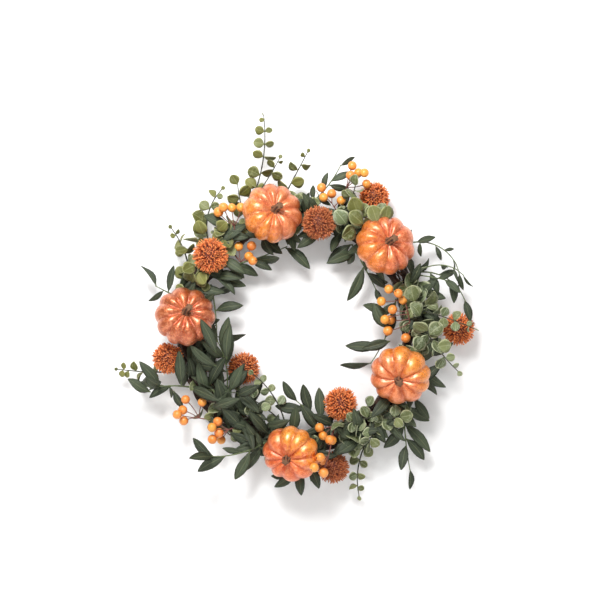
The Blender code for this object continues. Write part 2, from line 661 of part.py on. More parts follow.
def spray(model, kind, angle, offset, bends, branches, report):
    """One spray: stems that share a root, with leaves or berries along them."""
    root = stem_root(angle, offset)
    first = branches[0][1]
    axis = radial(first).cross(FORWARD)
    poses = (Matrix(),)
    if bends:
        there, back = Matrix.Translation(root), Matrix.Translation(-root)
        poses = tuple(there @ Matrix.Rotation(math.radians(a), 4, axis) @ back for a in BEND_POSES)
    parts, own, main = [], [], None
    for start, heading, bend, length, rise, shoots in branches:
        begin = root if main is None else on_path(main, start) - radial(heading) * STEM_RADIUS
        slim = STEM_RADIUS * (1 if main is None else SIDE_STEM_SHARE)
        for swing, lift in STEM_TRIES:
            path = stem_path(begin, heading + swing, bend, length, rise + lift)
            start = tube(path[:2], slim + GAP / 2, slim + GAP / 2, STEM_SIDES)
            rest = tube(path[1:], slim + CLEAR, slim * TIP_SHARE + CLEAR, STEM_SIDES)
            if model.is_clear(*start, poses) and model.is_clear(*rest, poses):
                break
        else:
            report.append(f"stem blocked: heading {heading} of a spray at {angle}")
        main = main or path
        parts.append(outward(mesh_from(*tube(path, slim, slim * TIP_SHARE, STEM_SIDES))))
        for index, shoot in enumerate(shoots):
            local = heading + swing + bend * shoot[0]
            if kind == "berry":
                made = add_berry(model, path, local, shoot, index, poses, own)
            else:
                made = add_leaf(model, kind, path, local, shoot, index, poses, own)
            if not made:
                report.append(f"left off: share {shoot[0]}, turn {shoot[1]}, heading {heading}, at {angle}")
            parts += made
    mesh = union(parts)
    model.occupy(mesh, poses=poses)
    return mesh, root, axis


def build():
    """Make every piece."""
    clear_scene()
    model = Model()
    finishes = {
        "vine": material("vine", (0.09, 0.045, 0.03), 0.8),
        "band": material("band", (0.05, 0.04, 0.035), 0.6),
        "pumpkin": material("pumpkin", (0.86, 0.33, 0.1), 0.38, 0.35),
        "pumpkin_stem": material("pumpkin_stem", (0.28, 0.13, 0.06), 0.75),
        "mum": material("mum", (0.75, 0.2, 0.04), 0.8),
        "berry": material("berry", (0.95, 0.42, 0.05), 0.4),
        "olive": material("olive", (0.06, 0.11, 0.05), 0.55),
        "eucalyptus": material("eucalyptus", (0.14, 0.2, 0.1), 0.6),
    }
    for index in range(CANE_COUNT):
        cane = vine_cane(index)
        smooth(cane)
        model.occupy(cane)
        model.add(f"vine_cane_{index + 1}", cane, finishes["vine"])
    top = union([band(90), hanging_eye()])
    model.occupy(top)
    model.add("band_top", top, finishes["band"])
    for name, angle in BAND_ANGLES.items():
        strap = band(angle)
        model.occupy(strap)
        model.add(name, strap, finishes["band"])
    for index, spec in enumerate(PUMPKINS):
        place = pumpkin_frame(*spec)
        shell, stub = pumpkin_shell(), pumpkin_stem()
        for name, mesh, finish in (("pumpkin", shell, "pumpkin"), ("pumpkin_stem", stub, "pumpkin_stem")):
            mesh.transform(place)
            smooth(mesh, 60)
            model.occupy(mesh, solid=True)
            model.add(f"{name}_{index + 1}", mesh, finishes[finish], origin=place.translation)
    for index, spec in enumerate(MUMS):
        mesh = clear_mum(model, *spec)
        smooth(mesh)
        model.occupy(mesh, solid=True)
        model.add(f"mum_{index + 1}", mesh, finishes["mum"])
    # Sprays that bend are set first, then berries, then the rest as listed
    order = sorted(SPRAYS, key=lambda name: (not SPRAYS[name][3], SPRAYS[name][0] != "berry"))
    for name in order:
        kind, angle, offset, bends, branches = SPRAYS[name]
        report = []
        mesh, root, axis = spray(model, kind, angle, offset, bends, branches, report)
        smooth(mesh)
        for line in report:
            print(name, line)
        if bends:
            pivot = bpy.data.objects.new(f"pivot_{name}", None)
            bpy.context.scene.collection.objects.link(pivot)
            pivot.parent = model.centre
            pivot.location = root
            model.add(name, mesh, finishes[kind], origin=root, parent=pivot)
            place = root + model.centre.location
            print("pivot", name, [round(c, 5) for c in place], [round(c, 5) for c in axis])
        else:
            model.add(name, mesh, finishes[kind], origin=root)


build()
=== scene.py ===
"""Looks of a round harvest wreath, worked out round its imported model.

Metres, +Z up. The door is the plane Y = 0 and the front of the wreath faces -Y. Shapes are worked out
about the ring's centre, as whole arrays, and moved into place when a piece is made.
"""
import math

import bpy
import numpy as np
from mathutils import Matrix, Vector
from mathutils.kdtree import KDTree


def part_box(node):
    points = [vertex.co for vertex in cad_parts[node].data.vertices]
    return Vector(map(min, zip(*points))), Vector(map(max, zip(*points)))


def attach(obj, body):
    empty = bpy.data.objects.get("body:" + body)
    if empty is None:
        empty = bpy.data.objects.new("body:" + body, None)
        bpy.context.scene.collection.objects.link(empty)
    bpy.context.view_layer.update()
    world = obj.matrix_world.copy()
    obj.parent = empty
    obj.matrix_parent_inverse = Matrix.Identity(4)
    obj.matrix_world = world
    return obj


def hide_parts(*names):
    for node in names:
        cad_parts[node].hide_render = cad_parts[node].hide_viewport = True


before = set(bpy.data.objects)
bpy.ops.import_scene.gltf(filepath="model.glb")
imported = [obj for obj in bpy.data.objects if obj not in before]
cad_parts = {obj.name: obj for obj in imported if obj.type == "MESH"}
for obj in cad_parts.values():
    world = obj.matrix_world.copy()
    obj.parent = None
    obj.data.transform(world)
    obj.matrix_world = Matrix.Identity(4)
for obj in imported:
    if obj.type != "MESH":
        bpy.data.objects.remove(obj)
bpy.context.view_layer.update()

MM = 0.001
FORWARD = np.array((0.0, -1.0, 0.0))
RING_BODY = "wreath_ring"

# Vine ring and its bands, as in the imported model
RING_RADIUS = 170 * MM
CANE_COUNT = 4
CANE_RADIUS = 7.2 * MM
CANE_OFFSET = 12 * MM
CANE_TWISTS = 5
BUNDLE_RADIUS = CANE_OFFSET + CANE_RADIUS
GAP = 0.4 * MM
BAND_WIDTH = 5 * MM
BAND_THICKNESS = 1.2 * MM
BAND_ANGLES = {"band_top": 90, "band_left": 178, "band_right": -10}
BAND_OUTER = BUNDLE_RADIUS + GAP + BAND_THICKNESS
EYE_RADIUS = 8 * MM
EYE_WIRE = 1.2 * MM
EYE_LEAN = 45
EYE_CENTRE_Z = RING_RADIUS + BAND_OUTER * math.cos(math.radians(EYE_LEAN)) + EYE_RADIUS - EYE_WIRE
RING_CENTRE = np.array((0.0, -BAND_OUTER, -(EYE_CENTRE_Z + EYE_RADIUS - EYE_WIRE)))

# Pumpkins: (angle, offset, tilt, tilt direction, size)
PUMPKIN_RADIUS = 44.5 * MM
PUMPKIN_HALF_HEIGHT = 29 * MM
PUMPKIN_RIBS = 10
DIMPLE_DEPTH = 9 * MM
GROOVE_DEPTH = 4.6 * MM
STUB_BASE = 7.5 * MM
STUB_HEIGHT = 17 * MM
PUMPKINS = (
    (103.3, 6, 19, 50, 1.0),
    (45.3, 7, 18, 42, 1.0),
    (-24, -10, 22, 243, 1.0),
    (265.8, 10, 27, 227, 0.96),
    (173, -1, 22, 70, 1.0),
)
BLUSH_EDGE = (0.010, 0.034)  # metres from a pumpkin's middle: none of the blush, then all of it
BLUSH_WANDER = 0.022
PAINTED_GROOVE_SHADE = (0.60, 0.42, 0.36)  # red, green and blue of the painted shade in a groove, over the body's
# Red, green and blue of the painted highlight on a rib crest, over the body's
PAINTED_CREST_HIGHLIGHT = (1.12, 1.45, 1.9)
# Each pumpkin's paint: (body colour, blush colour, way that the blush lies, speckles, metal)
PUMPKIN_PAINTS = (
    ((0.62, 0.165, 0.044), (0.76, 0.240, 0.008), 215, 1.0, 0.35),
    ((0.62, 0.140, 0.036), (0.74, 0.210, 0.010), 200, 0.5, 0.4),
    ((0.68, 0.175, 0.044), (0.82, 0.290, 0.018), 40, 0.9, 0.35),
    ((0.68, 0.128, 0.015), (0.84, 0.310, 0.014), 45, 0.9, 0.35),
    ((0.50, 0.112, 0.026), (0.50, 0.120, 0.020), 130, 0.0, 0.65),
)

# Mums
MUM_RADIUS = 24 * MM
MUM_FLATNESS = 0.8
MUM_SIZES = (1.08, 1.05, 0.94, 1.02, 1.04, 1.0, 0.96, 1.0)
MUM_TINTS = (1.0, 0.15, 1.0, 1.0, 1.0, 0.12, 1.0, 0.6)  # the highest petal tint: lower is a darker mum
PETALS = 1200
PETAL_SIDES = 5
PETAL_REFERENCE = np.array((0.31, 0.52, 0.79))  # no petal of the lattice lies along it

# Sprays
STEM_RADIUS = 1.4 * MM
SIDE_STEM = 0.85  # a side stem's radius over the main stem's
STALK_RADIUS = 0.9 * MM
STEM_STEP = 16 * MM
TIP_SHARE = 0.55
ROOTING = 1.6
BERRY_RADIUS = 7 * MM
LEAF_THICKNESS = 1.0 * MM
LEAF_ROLL = 12  # degrees, for a shoot that gives none
STEM_TRIES = [(swing, lift) for swing in (0, 8, -8, 16, -16)
              for lift in (0, 4, -4, 8, -8, 12, -12, 16, 20, -16, 26, 32)]
# Kind: leaf width over length, widest width, where the widest stretch starts and ends
LEAF_SHAPES = {
    "olive": (0.42, 19 * MM, 0.28, 0.68),
    "eucalyptus": (0.92, 24 * MM, 0.26, 0.74),
}
LEAF_TRIES = [(aside, times, tilt) for aside in (0, 14, -14, 28) for times in (1, -1, 3, -3)
              for tilt in (8, -8, 22, -22, 36, -36, 50, 64, -50, 78)]
BERRY_TRIES = (0, 20, -20, 38, -38, 55, -55, 72)
# How far the eucalyptus of a spray is from olive green to dusty green, nought to one
DUSTINESS = {
    "eucalyptus_crown": 0.1, "eucalyptus_top": 0.0, "eucalyptus_top_right": 0.65, "eucalyptus_right": 0.75,
    "eucalyptus_bottom_right": 0.75, "eucalyptus_bottom_sprig": 0.6, "eucalyptus_left": 0.1,
    "eucalyptus_upper_left_low": 0.15, "eucalyptus_upper_left": 0.3, "eucalyptus_inner_bottom": 0.8,
    "eucalyptus_low_left": 0.7,
}

# A branch: (start share of the main stem, heading, bend, length, rise, shoots). The first branch is
# the main stem, and its start is unused. A shoot: (share of the branch, turn from it, size, roll).
# Headings are degrees in the plane of the wreath, 0 right and 90 up. Lengths are in millimetres.
# A spray: name: (kind, angle, offset, bends, branches)
SPRAYS = {
    "berries_upper_left": ("berry", 126, -5, False, [
        (0, 90, 0, 22, 14, [(1, 49, 31), (1, 30, 33), (1, 8, 27), (1, -20, 29)])]),
    "berries_inner_left": ("berry", 131, -20, False, [
        (0, -50, 0, 16, 14, [(1, 147, 23), (1, 105, 29), (1, 83, 15), (1, 54, 24)])]),
    "berries_top": ("berry", 72, 13, False, [
        (0, 72, 0, 41, 14, [(1, 3, 33), (1, -1, 19), (1, -21, 28), (1, -34, 35), (1, -62, 30)]),
        (0, 125, 0, 20, 16, [(1, -2, 27), (1, 20, 14), (0.9, -35, 16), (0.6, -83, 14)])]),
    "berries_right": ("berry", 0, -4, False, [
        (0, 105, 0, 50, 22, [
            (1, 43, 27), (1, 35, 16), (1, 81, 34), (0.6, 70, 22), (0.75, 15, 10), (0.5, 88, 35),
            (0.35, 78, 29), (0.25, 96, 35), (0.1, 139, 18)])]),
    "berries_low_left": ("berry", 226, 16, False, [
        (0, 170, 0, 22, 10, [(1, -44, 34), (1, -91, 24), (1, -16, 27), (1, -1, 34), (1, 20, 23)])]),
    "berries_bottom_left": ("berry", 240, -10, False, [
        (0, 197, 0, 28, 14, [(1, -53, 20), (1, -26, 26), (1, 2, 15), (1, 14, 28), (1, 38, 26)])]),
    "berries_bottom": ("berry", -72, -10, False, [
        (0, -105, 0, 34, 46, [(1, -75, 15), (1, -42, 31), (1, -33, 18), (1, -1, 24), (1, 0, 33)]),
        (0, 80, 0, 14, 14, [(1, 108, 23), (1, 141, 23), (1, 179, 22), (1, 168, 27)])]),

    "olive_top": ("olive", 86, 17, False, [
        (0, 38, 26, 76, 10, [
            (0.12, 50, 24), (0.4, 28, 28), (0.55, -62, 31), (0.62, -28, 34, 40), (1, -32, 26, 35),
            (0.2, -70, 24)])]),
    "olive_top_right": ("olive", 40, 20, True, [
        (0, 33, -112, 118, 6, [
            (0.12, 50, 24), (0.25, 10, 30, 30), (0.3, -84, 22, 30), (0.5, -46, 24, 40), (0.62, 42, 16),
            (0.8, -30, 18, 50), (1, 4, 26, 40)])]),
    "olive_right": ("olive", 27, 14, False, [
        (0, 18, -88, 100, 4, [
            (0.04, 30, 34), (0.3, -62, 34), (0.42, 30, 30), (0.62, -44, 34), (0.75, 26, 26), (1, -6, 34)]),
        (0.1, 42, -90, 74, 16, [(0.5, -8, 24, 50), (0.75, -50, 20, 40), (1, 0, 24, 45)]),
        (0, -6, -10, 66, 20, [(0.62, 30, 22), (0.78, -28, 31), (1, -12, 34, 20)])]),
    "olive_inner_right": ("olive", 18, -19, False, [
        (0, -98, -28, 105, 8, [
            (0.05, -43, 33), (0.14, -34, 45), (0.3, -22, 44), (0.46, -70, 28), (0.7, -62, 54),
            (1, -50, 47, 40)])]),
    "olive_right_low": ("olive", -17, 20, False, [
        (0, -100, -10, 52, 8, [(0.02, 62, 48), (0.4, 66, 34), (0.9, 55, 38, 35)])]),
    "olive_hanging": ("olive", -35, 22, True, [
        (0, -92, 13, 100, 10, [
            (0.06, 62, 44), (0.04, 3, 37), (0.25, -42, 13), (0.3, 40, 57), (0.34, -45, 46),
            (0.52, 36, 44), (0.62, -20, 40), (1, -12, 30)])]),
    "olive_inner_bottom": ("olive", -73, -20, False, [
        (0, 145, -6, 62, 12, [
            (0.25, -50, 49), (0.55, -36, 45), (0.7, 34, 47), (1, -14, 38), (0.05, -80, 40)])]),
    "olive_bottom": ("olive", -80, 20, False, [
        (0, -140, -20, 60, 4, [(0.1, 78, 36), (0.25, 46, 30), (0.6, 54, 24), (1, -18, 26)])]),
    "olive_bottom_left": ("olive", 253, 4, True, [
        (0, 208, -30, 82, 26, [
            (0.05, 28, 52), (0.12, -48, 48), (0.3, 44, 51), (0.46, -28, 29), (0.74, 24, 49),
            (0.96, -42, 41), (1, 0, 49)])]),
    "olive_left_low": ("olive", 207, 16, False, [
        (0, 172, 18, 58, 8, [
            (0.12, -70, 56), (0.5, 100, 18, 40), (0.56, 16, 33, 40), (0.75, -54, 51), (1, -36, 39, 30)]),
        (0, -6, 0, 76, 12, [(0.04, -16, 60), (0.5, -38, 46), (0.78, 52, 44), (1, -36, 45)])]),
    "olive_inner_left": ("olive", 222, -20, False, [
        (0, 76, 42, 86, 20, [
            (0.45, 70, 48), (0.55, -20, 50), (0.7, 36, 51), (0.8, -30, 54), (1, -8, 53), (0.3, -58, 40)])]),
    "olive_inner_left_top": ("olive", 153, -20, False, [
        (0, -76, -14, 80, 8, [(0.15, 102, 41, 30), (0.5, 94, 43), (1, 94, 44), (0.75, -60, 30)])]),
    "olive_left": ("olive", 165, 20, False, [
        (0, 152, 0, 36, 10, [
            (0.15, -90, 26, 35), (0.4, -74, 42, 50), (0.35, 84, 22), (0.6, 62, 28, 35),
            (1, -24, 40, 40)])]),
    "olive_inner_top_left": ("olive", 141, -21, False, [
        (0, 12, 12, 102, 6, [
            (0.12, -34, 44), (0.42, -42, 36), (0.5, -32, 56), (0.96, -64, 50), (0.7, 40, 30)])]),
    "olive_inner_top_right": ("olive", 59, -20, False, [
        (0, -60, -4, 76, 4, [
            (0, -82, 46), (0.18, -98, 52), (0.5, -54, 58), (1, -4, 26), (0.72, 44, 30), (0.1, -50, 30)])]),

    "eucalyptus_crown": ("eucalyptus", 116, 20, True, [
        (0, 61, 36, 155, 8, [
            (0.16, 70, 20), (0.3, 75, 20), (0.3, -70, 14, 60), (0.42, 80, 20), (0.44, -60, 20),
            (0.6, 75, 17), (0.6, -85, 19, 50), (0.72, 85, 17), (0.72, -80, 14), (0.84, 70, 15),
            (0.84, -75, 12, 40), (0.94, 60, 8), (0.96, -60, 7), (1, 0, 6)]),
        (0.12, 52, 10, 84, 14, [
            (0.3, 70, 16), (0.5, -60, 18), (0.7, -100, 18, 50), (0.8, 70, 15), (0.92, -50, 8), (1, 0, 7)]),
        (0, 108, -12, 50, 8, [(0.3, 60, 14), (0.55, 70, 19), (0.65, -60, 21), (1, 25, 17)])]),
    "eucalyptus_top": ("eucalyptus", 99, 21, False, [
        (0, 62, 0, 88, 6, [
            (0.3, 80, 20), (0.4, -50, 20), (0.52, -120, 20, 50), (0.65, 70, 17), (0.75, -60, 15),
            (0.9, 60, 8), (1, 0, 7)])]),
    "eucalyptus_top_right": ("eucalyptus", 66, 4, False, [
        (0, 82, -6, 56, 22, [
            (0.2, 80, 21), (0.35, 70, 18), (0.45, -65, 19), (0.7, 75, 18), (0.85, -60, 15), (1, 10, 18)]),
        (0.1, 4, 6, 50, 26, [
            (0.15, -50, 18), (0.3, 50, 25), (0.5, -60, 16), (0.6, 60, 17), (0.85, -50, 16), (0.9, 45, 19),
            (1, 0, 26, 40)])]),
    "eucalyptus_right": ("eucalyptus", 24, 2, False, [
        (0, -76, 32, 152, 26, [
            (0.02, 100, 20), (0.05, -80, 16), (0.14, 70, 22), (0.16, -70, 17), (0.26, -60, 17),
            (0.28, 75, 17), (0.4, 70, 20), (0.42, -70, 18), (0.54, -65, 19), (0.55, 65, 15),
            (0.68, 60, 22), (0.69, -60, 15), (0.8, -70, 20), (0.82, 60, 14), (0.92, 60, 10), (1, 0, 9)]),
        (0.26, -14, -10, 92, 26, [
            (0.3, 60, 18), (0.45, 75, 15), (0.48, -70, 16), (0.64, 70, 16, 50), (0.67, -65, 15),
            (0.86, 60, 9), (0.9, -60, 9), (1, 0, 8)])]),
    "eucalyptus_bottom_right": ("eucalyptus", -49, 0, False, [
        (0, 186, 10, 48, 20, [(0.25, -75, 19), (0.35, 60, 19), (0.65, -60, 16), (0.7, 65, 16),
            (1, 10, 22)]),
        (0, -8, 20, 38, 22, [(0.2, 80, 16), (0.35, -60, 21), (0.75, 75, 18), (0.8, -60, 17), (1, 0, 21)]),
        (0, -100, -10, 42, 16, [(0.4, 60, 19), (0.5, -60, 17), (0.8, 70, 17), (0.85, -65, 16),
            (1, 0, 16)])]),
    "eucalyptus_bottom_sprig": ("eucalyptus", -57, 21, True, [
        (0, -122, 44, 92, 6, [
            (0.18, -60, 16), (0.2, 70, 17), (0.4, -60, 16), (0.42, 65, 14), (0.62, 60, 13), (0.64, -65, 14),
            (0.82, -65, 14), (0.84, 60, 10), (1, 0, 8)])]),
    "eucalyptus_left": ("eucalyptus", 199, 20, True, [
        (0, 184, -12, 94, 4, [
            (0.36, -80, 16), (0.38, 70, 12, 40), (0.58, 70, 18, 50), (0.7, -75, 15), (0.82, 80, 11, 50),
            (0.9, -85, 11, 50), (0.91, 85, 11, 50), (1, 0, 6)])]),
    "eucalyptus_upper_left_low": ("eucalyptus", 151, 21, False, [
        (0, 98, 30, 66, 6, [
            (0.05, 85, 16), (0.12, -60, 20), (0.34, -60, 20, 60), (0.36, 70, 14), (0.56, 70, 16),
            (0.6, -55, 15), (0.8, 60, 9), (0.82, -60, 9), (1, 0, 7)])]),
    "eucalyptus_upper_left": ("eucalyptus", 136, 21, False, [
        (0, 104, -58, 84, 10, [
            (0.1, 60, 22), (0.3, 55, 22), (0.42, 80, 12, 50), (0.44, -70, 15, 50), (0.58, 75, 18),
            (0.62, -60, 14), (0.8, 70, 15), (0.84, -60, 10), (1, 0, 7)])]),
    "eucalyptus_inner_bottom": ("eucalyptus", 262, -20, False, [
        (0, 98, 44, 100, 8, [
            (0.4, -60, 16), (0.46, 60, 17), (0.62, -50, 12), (0.64, 60, 14), (0.8, -60, 12), (0.82, 60, 12),
            (1, 0, 9)]),
        (0.08, 135, 16, 88, 20, [
            (0.2, 60, 16), (0.35, -50, 16), (0.5, 60, 16), (0.72, -60, 20), (0.76, 60, 14), (1, 0, 15)])]),
    "eucalyptus_low_left": ("eucalyptus", 235, -4, False, [
        (0, 22, 8, 44, 14, [(0.2, 90, 17), (0.5, 60, 19), (0.6, -60, 15), (1, 0, 15)])]),
}


def unit(vectors):
    """Vectors over their own lengths."""
    return vectors / np.linalg.norm(vectors, axis=-1, keepdims=True)


def radial(angle):
    """Unit vectors out from the ring's centre: (cos angle, 0, sin angle), the angle in degrees."""
    turn = np.radians(np.asarray(angle, float))
    return np.stack((np.cos(turn), np.zeros_like(turn), np.sin(turn)), axis=-1)


def smoothstep(low, high, value):
    """Nought below low and one above high, with a smooth rise between them."""
    share = np.clip((value - low) / (high - low), 0, 1)
    return share * share * (3 - 2 * share)


# ---------------------------------------------------------------- meshes


def ring_quads(rings, sides):
    """Quads from ring r's side s to side s + 1, then on to the same two sides of ring r + 1."""
    ring, side = np.meshgrid(np.arange(rings - 1), np.arange(sides), indexing="ij")
    after = (side + 1) % sides
    here, there = ring * sides, (ring + 1) * sides
    return np.stack((here + side, here + after, there + after, there + side), axis=-1).reshape(-1, 4)


def end_fans(rings, sides):
    """Triangles from a pole before the first ring and a pole after the last one."""
    side = np.arange(sides)
    after = (side + 1) % sides
    last = (rings - 1) * sides
    first_pole = np.full(sides, rings * sides)
    head = np.stack((first_pole, after, side), axis=-1)
    tail = np.stack((first_pole + 1, last + side, last + after), axis=-1)
    return np.concatenate((head, tail))


class Shell:
    """Closed surfaces gathered into one mesh, with named values kept on each point."""

    def __init__(self):
        """Nothing gathered yet."""
        self.points, self.quads, self.triangles = [], [], []
        self.quad_finish, self.triangle_finish, self.values = [], [], []
        self.size = 0

    def add(self, points, quads, triangles, finish, values):
        """Add copies of one layout of faces: points is (copies, points of one, 3)."""
        copies, size = points.shape[:2]
        starts = self.size + np.arange(copies)[:, None, None] * size
        self.points.append(points.reshape(-1, 3))
        self.quads.append((quads + starts).reshape(-1, 4))
        self.triangles.append((triangles + starts).reshape(-1, 3))
        self.quad_finish.append(np.full(copies * len(quads), finish))
        self.triangle_finish.append(np.full(copies * len(triangles), finish))
        self.values.append((copies * size, {
            name: np.broadcast_to(value, (copies, size)).ravel() for name, value in values.items()}))
        self.size += copies * size

    def add_rings(self, rings, finish=0, poles=None, **values):
        """Add copies of a tube of rings, (copies, rings, sides, 3), closed at each end by a pole.

        A pole is the middle of its end ring unless poles gives its place. Values are per ring point.
        """
        copies, count, sides = rings.shape[:3]
        if poles is None:
            poles = rings[:, [0, -1]].mean(axis=2)
        points = np.concatenate((rings.reshape(copies, count * sides, 3), poles), axis=1)
        kept = {}
        for name, value in values.items():
            full = np.broadcast_to(value, (copies, count, sides))
            ends = full[:, [0, -1]].mean(axis=2)
            kept[name] = np.concatenate((full.reshape(copies, -1), ends), axis=1)
        self.add(points, ring_quads(count, sides), end_fans(count, sides), finish, kept)


def make_piece(name, shell, finishes, body=RING_BODY, replaces=()):
    """A mesh object from a shell, riding on a body in the place of CAD nodes."""
    points = np.concatenate(shell.points) + RING_CENTRE
    quads, triangles = np.concatenate(shell.quads), np.concatenate(shell.triangles)
    corners = np.concatenate((quads.ravel(), triangles.ravel()))
    starts = np.concatenate((np.arange(len(quads)) * 4, len(quads) * 4 + np.arange(len(triangles)) * 3))
    mesh = bpy.data.meshes.new(name)
    mesh.vertices.add(len(points))
    mesh.vertices.foreach_set("co", points.astype(np.float32).ravel())
    mesh.loops.add(len(corners))
    mesh.polygons.add(len(starts))
    mesh.polygons.foreach_set("loop_start", starts.astype(np.int32))
    mesh.polygons.foreach_set("vertices", corners.astype(np.int32))
    for finish in finishes:
        mesh.materials.append(finish)
    parts = np.concatenate(shell.quad_finish + shell.triangle_finish)
    mesh.polygons.foreach_set("material_index", parts.astype(np.int32))
    for value_name in sorted({key for _, values in shell.values for key in values}):
        full = [values.get(value_name, np.zeros(size)) for size, values in shell.values]
        layer = mesh.attributes.new(value_name, "FLOAT", "POINT")
        layer.data.foreach_set("value", np.concatenate(full).astype(np.float32))
    mesh.update(calc_edges=True)
    mesh.shade_smooth()
    piece = bpy.data.objects.new(name, mesh)
    bpy.context.scene.collection.objects.link(piece)
    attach(piece, body)
    if replaces:
        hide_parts(*replaces)


def tube_rings(lines, radii, sides, reference=FORWARD):
    """Rings round centre lines: centre + radius * (cos t * across + sin t * (along x across)).

    Along is the line's direction, and across is along x the reference. lines is (copies, steps, 3).
    """
    along = unit(np.gradient(lines, axis=-2))
    across = unit(np.cross(along, reference))
    up = np.cross(along, across)
    turn = 2 * np.pi * np.arange(sides) / sides
    spokes = across[..., None, :] * np.cos(turn)[:, None] + up[..., None, :] * np.sin(turn)[:, None]
    return lines[..., None, :] + np.asarray(radii)[..., None, None] * spokes


def resample(path, steps):
    """A smooth curve through the points of a path: a Catmull-Rom spline at even shares of its index."""
    path = np.asarray(path, float)
    padded = np.concatenate((2 * path[:1] - path[1:2], path, 2 * path[-1:] - path[-2:-1]))
    place = np.linspace(0, len(path) - 1, steps)
    i = np.minimum(place.astype(int), len(path) - 2)
    t = (place - i)[:, None]
    a, b, c, d = (padded[i + k] for k in range(4))
    return 0.5 * (2 * b + (c - a) * t + (2 * a - 5 * b + 4 * c - d) * t ** 2
                  + (3 * b - a - 3 * c + d) * t ** 3)


# ---------------------------------------------------------------- materials


def put(tree, target, value):
    """Link an output to a socket, or set the socket's own value."""
    if isinstance(value, bpy.types.NodeSocket):
        tree.links.new(value, target)
    else:
        target.default_value = value


def add_node(tree, kind, inputs=(), **settings):
    """A node with its settings, and its inputs by name or place."""
    made = tree.nodes.new(kind)
    for name, value in settings.items():
        setattr(made, name, value)
    for key, value in dict(inputs).items():
        put(tree, made.inputs[key], value)
    return made


def calculate(tree, operation, a, b=0.0):
    """The result of one sum."""
    return add_node(tree, "ShaderNodeMath", {0: a, 1: b}, operation=operation).outputs[0]


def new_group(name, inputs, outputs):
    """An empty node group with named float inputs and outputs, and its two end nodes."""
    tree = bpy.data.node_groups.new(name, "ShaderNodeTree")
    for socket, value in inputs.items():
        made = tree.interface.new_socket(socket, in_out="INPUT", socket_type="NodeSocketFloat")
        made.default_value = value
    for socket in outputs:
        tree.interface.new_socket(socket, in_out="OUTPUT", socket_type="NodeSocketFloat")
    return tree, tree.nodes.new("NodeGroupInput").outputs, tree.nodes.new("NodeGroupOutput").inputs


def speckle_group():
    """Small dark specks: one inside the centre of some Voronoi cells, nought elsewhere."""
    tree, given, result = new_group("specks", {"Scale": 300.0, "Size": 0.25, "Share": 0.4}, ["Mask"])
    place = add_node(tree, "ShaderNodeTexCoord").outputs["Object"]
    cells = add_node(tree, "ShaderNodeTexVoronoi", {"Vector": place, "Scale": given["Scale"]}).outputs
    near = calculate(tree, "LESS_THAN", cells["Distance"], given["Size"])
    random = add_node(tree, "ShaderNodeSeparateColor", {0: cells["Color"]}).outputs[0]
    chosen = calculate(tree, "LESS_THAN", random, given["Share"])
    put(tree, result["Mask"], calculate(tree, "MULTIPLY", near, chosen))
    return tree


def mottle_group():
    """Broad and fine noise added up: a mask from nought to one for patchy colour."""
    tree, given, result = new_group("mottle", {"Scale": 30.0, "Fine": 6.0, "Contrast": 1.0}, ["Mask"])
    place = add_node(tree, "ShaderNodeTexCoord").outputs["Object"]
    finer = calculate(tree, "MULTIPLY", given["Scale"], given["Fine"])
    broad, fine = (add_node(tree, "ShaderNodeTexNoise", {"Vector": place, "Scale": scale}).outputs["Fac"]
                   for scale in (given["Scale"], finer))
    centred = calculate(tree, "SUBTRACT", calculate(tree, "ADD", broad, fine), 1.0)
    spread = add_node(tree, "ShaderNodeMath", {0: centred, 1: given["Contrast"], 2: 0.5},
                      operation="MULTIPLY_ADD", use_clamp=True)
    put(tree, result["Mask"], spread.outputs[0])
    return tree


SPECKS = speckle_group()
MOTTLE = mottle_group()


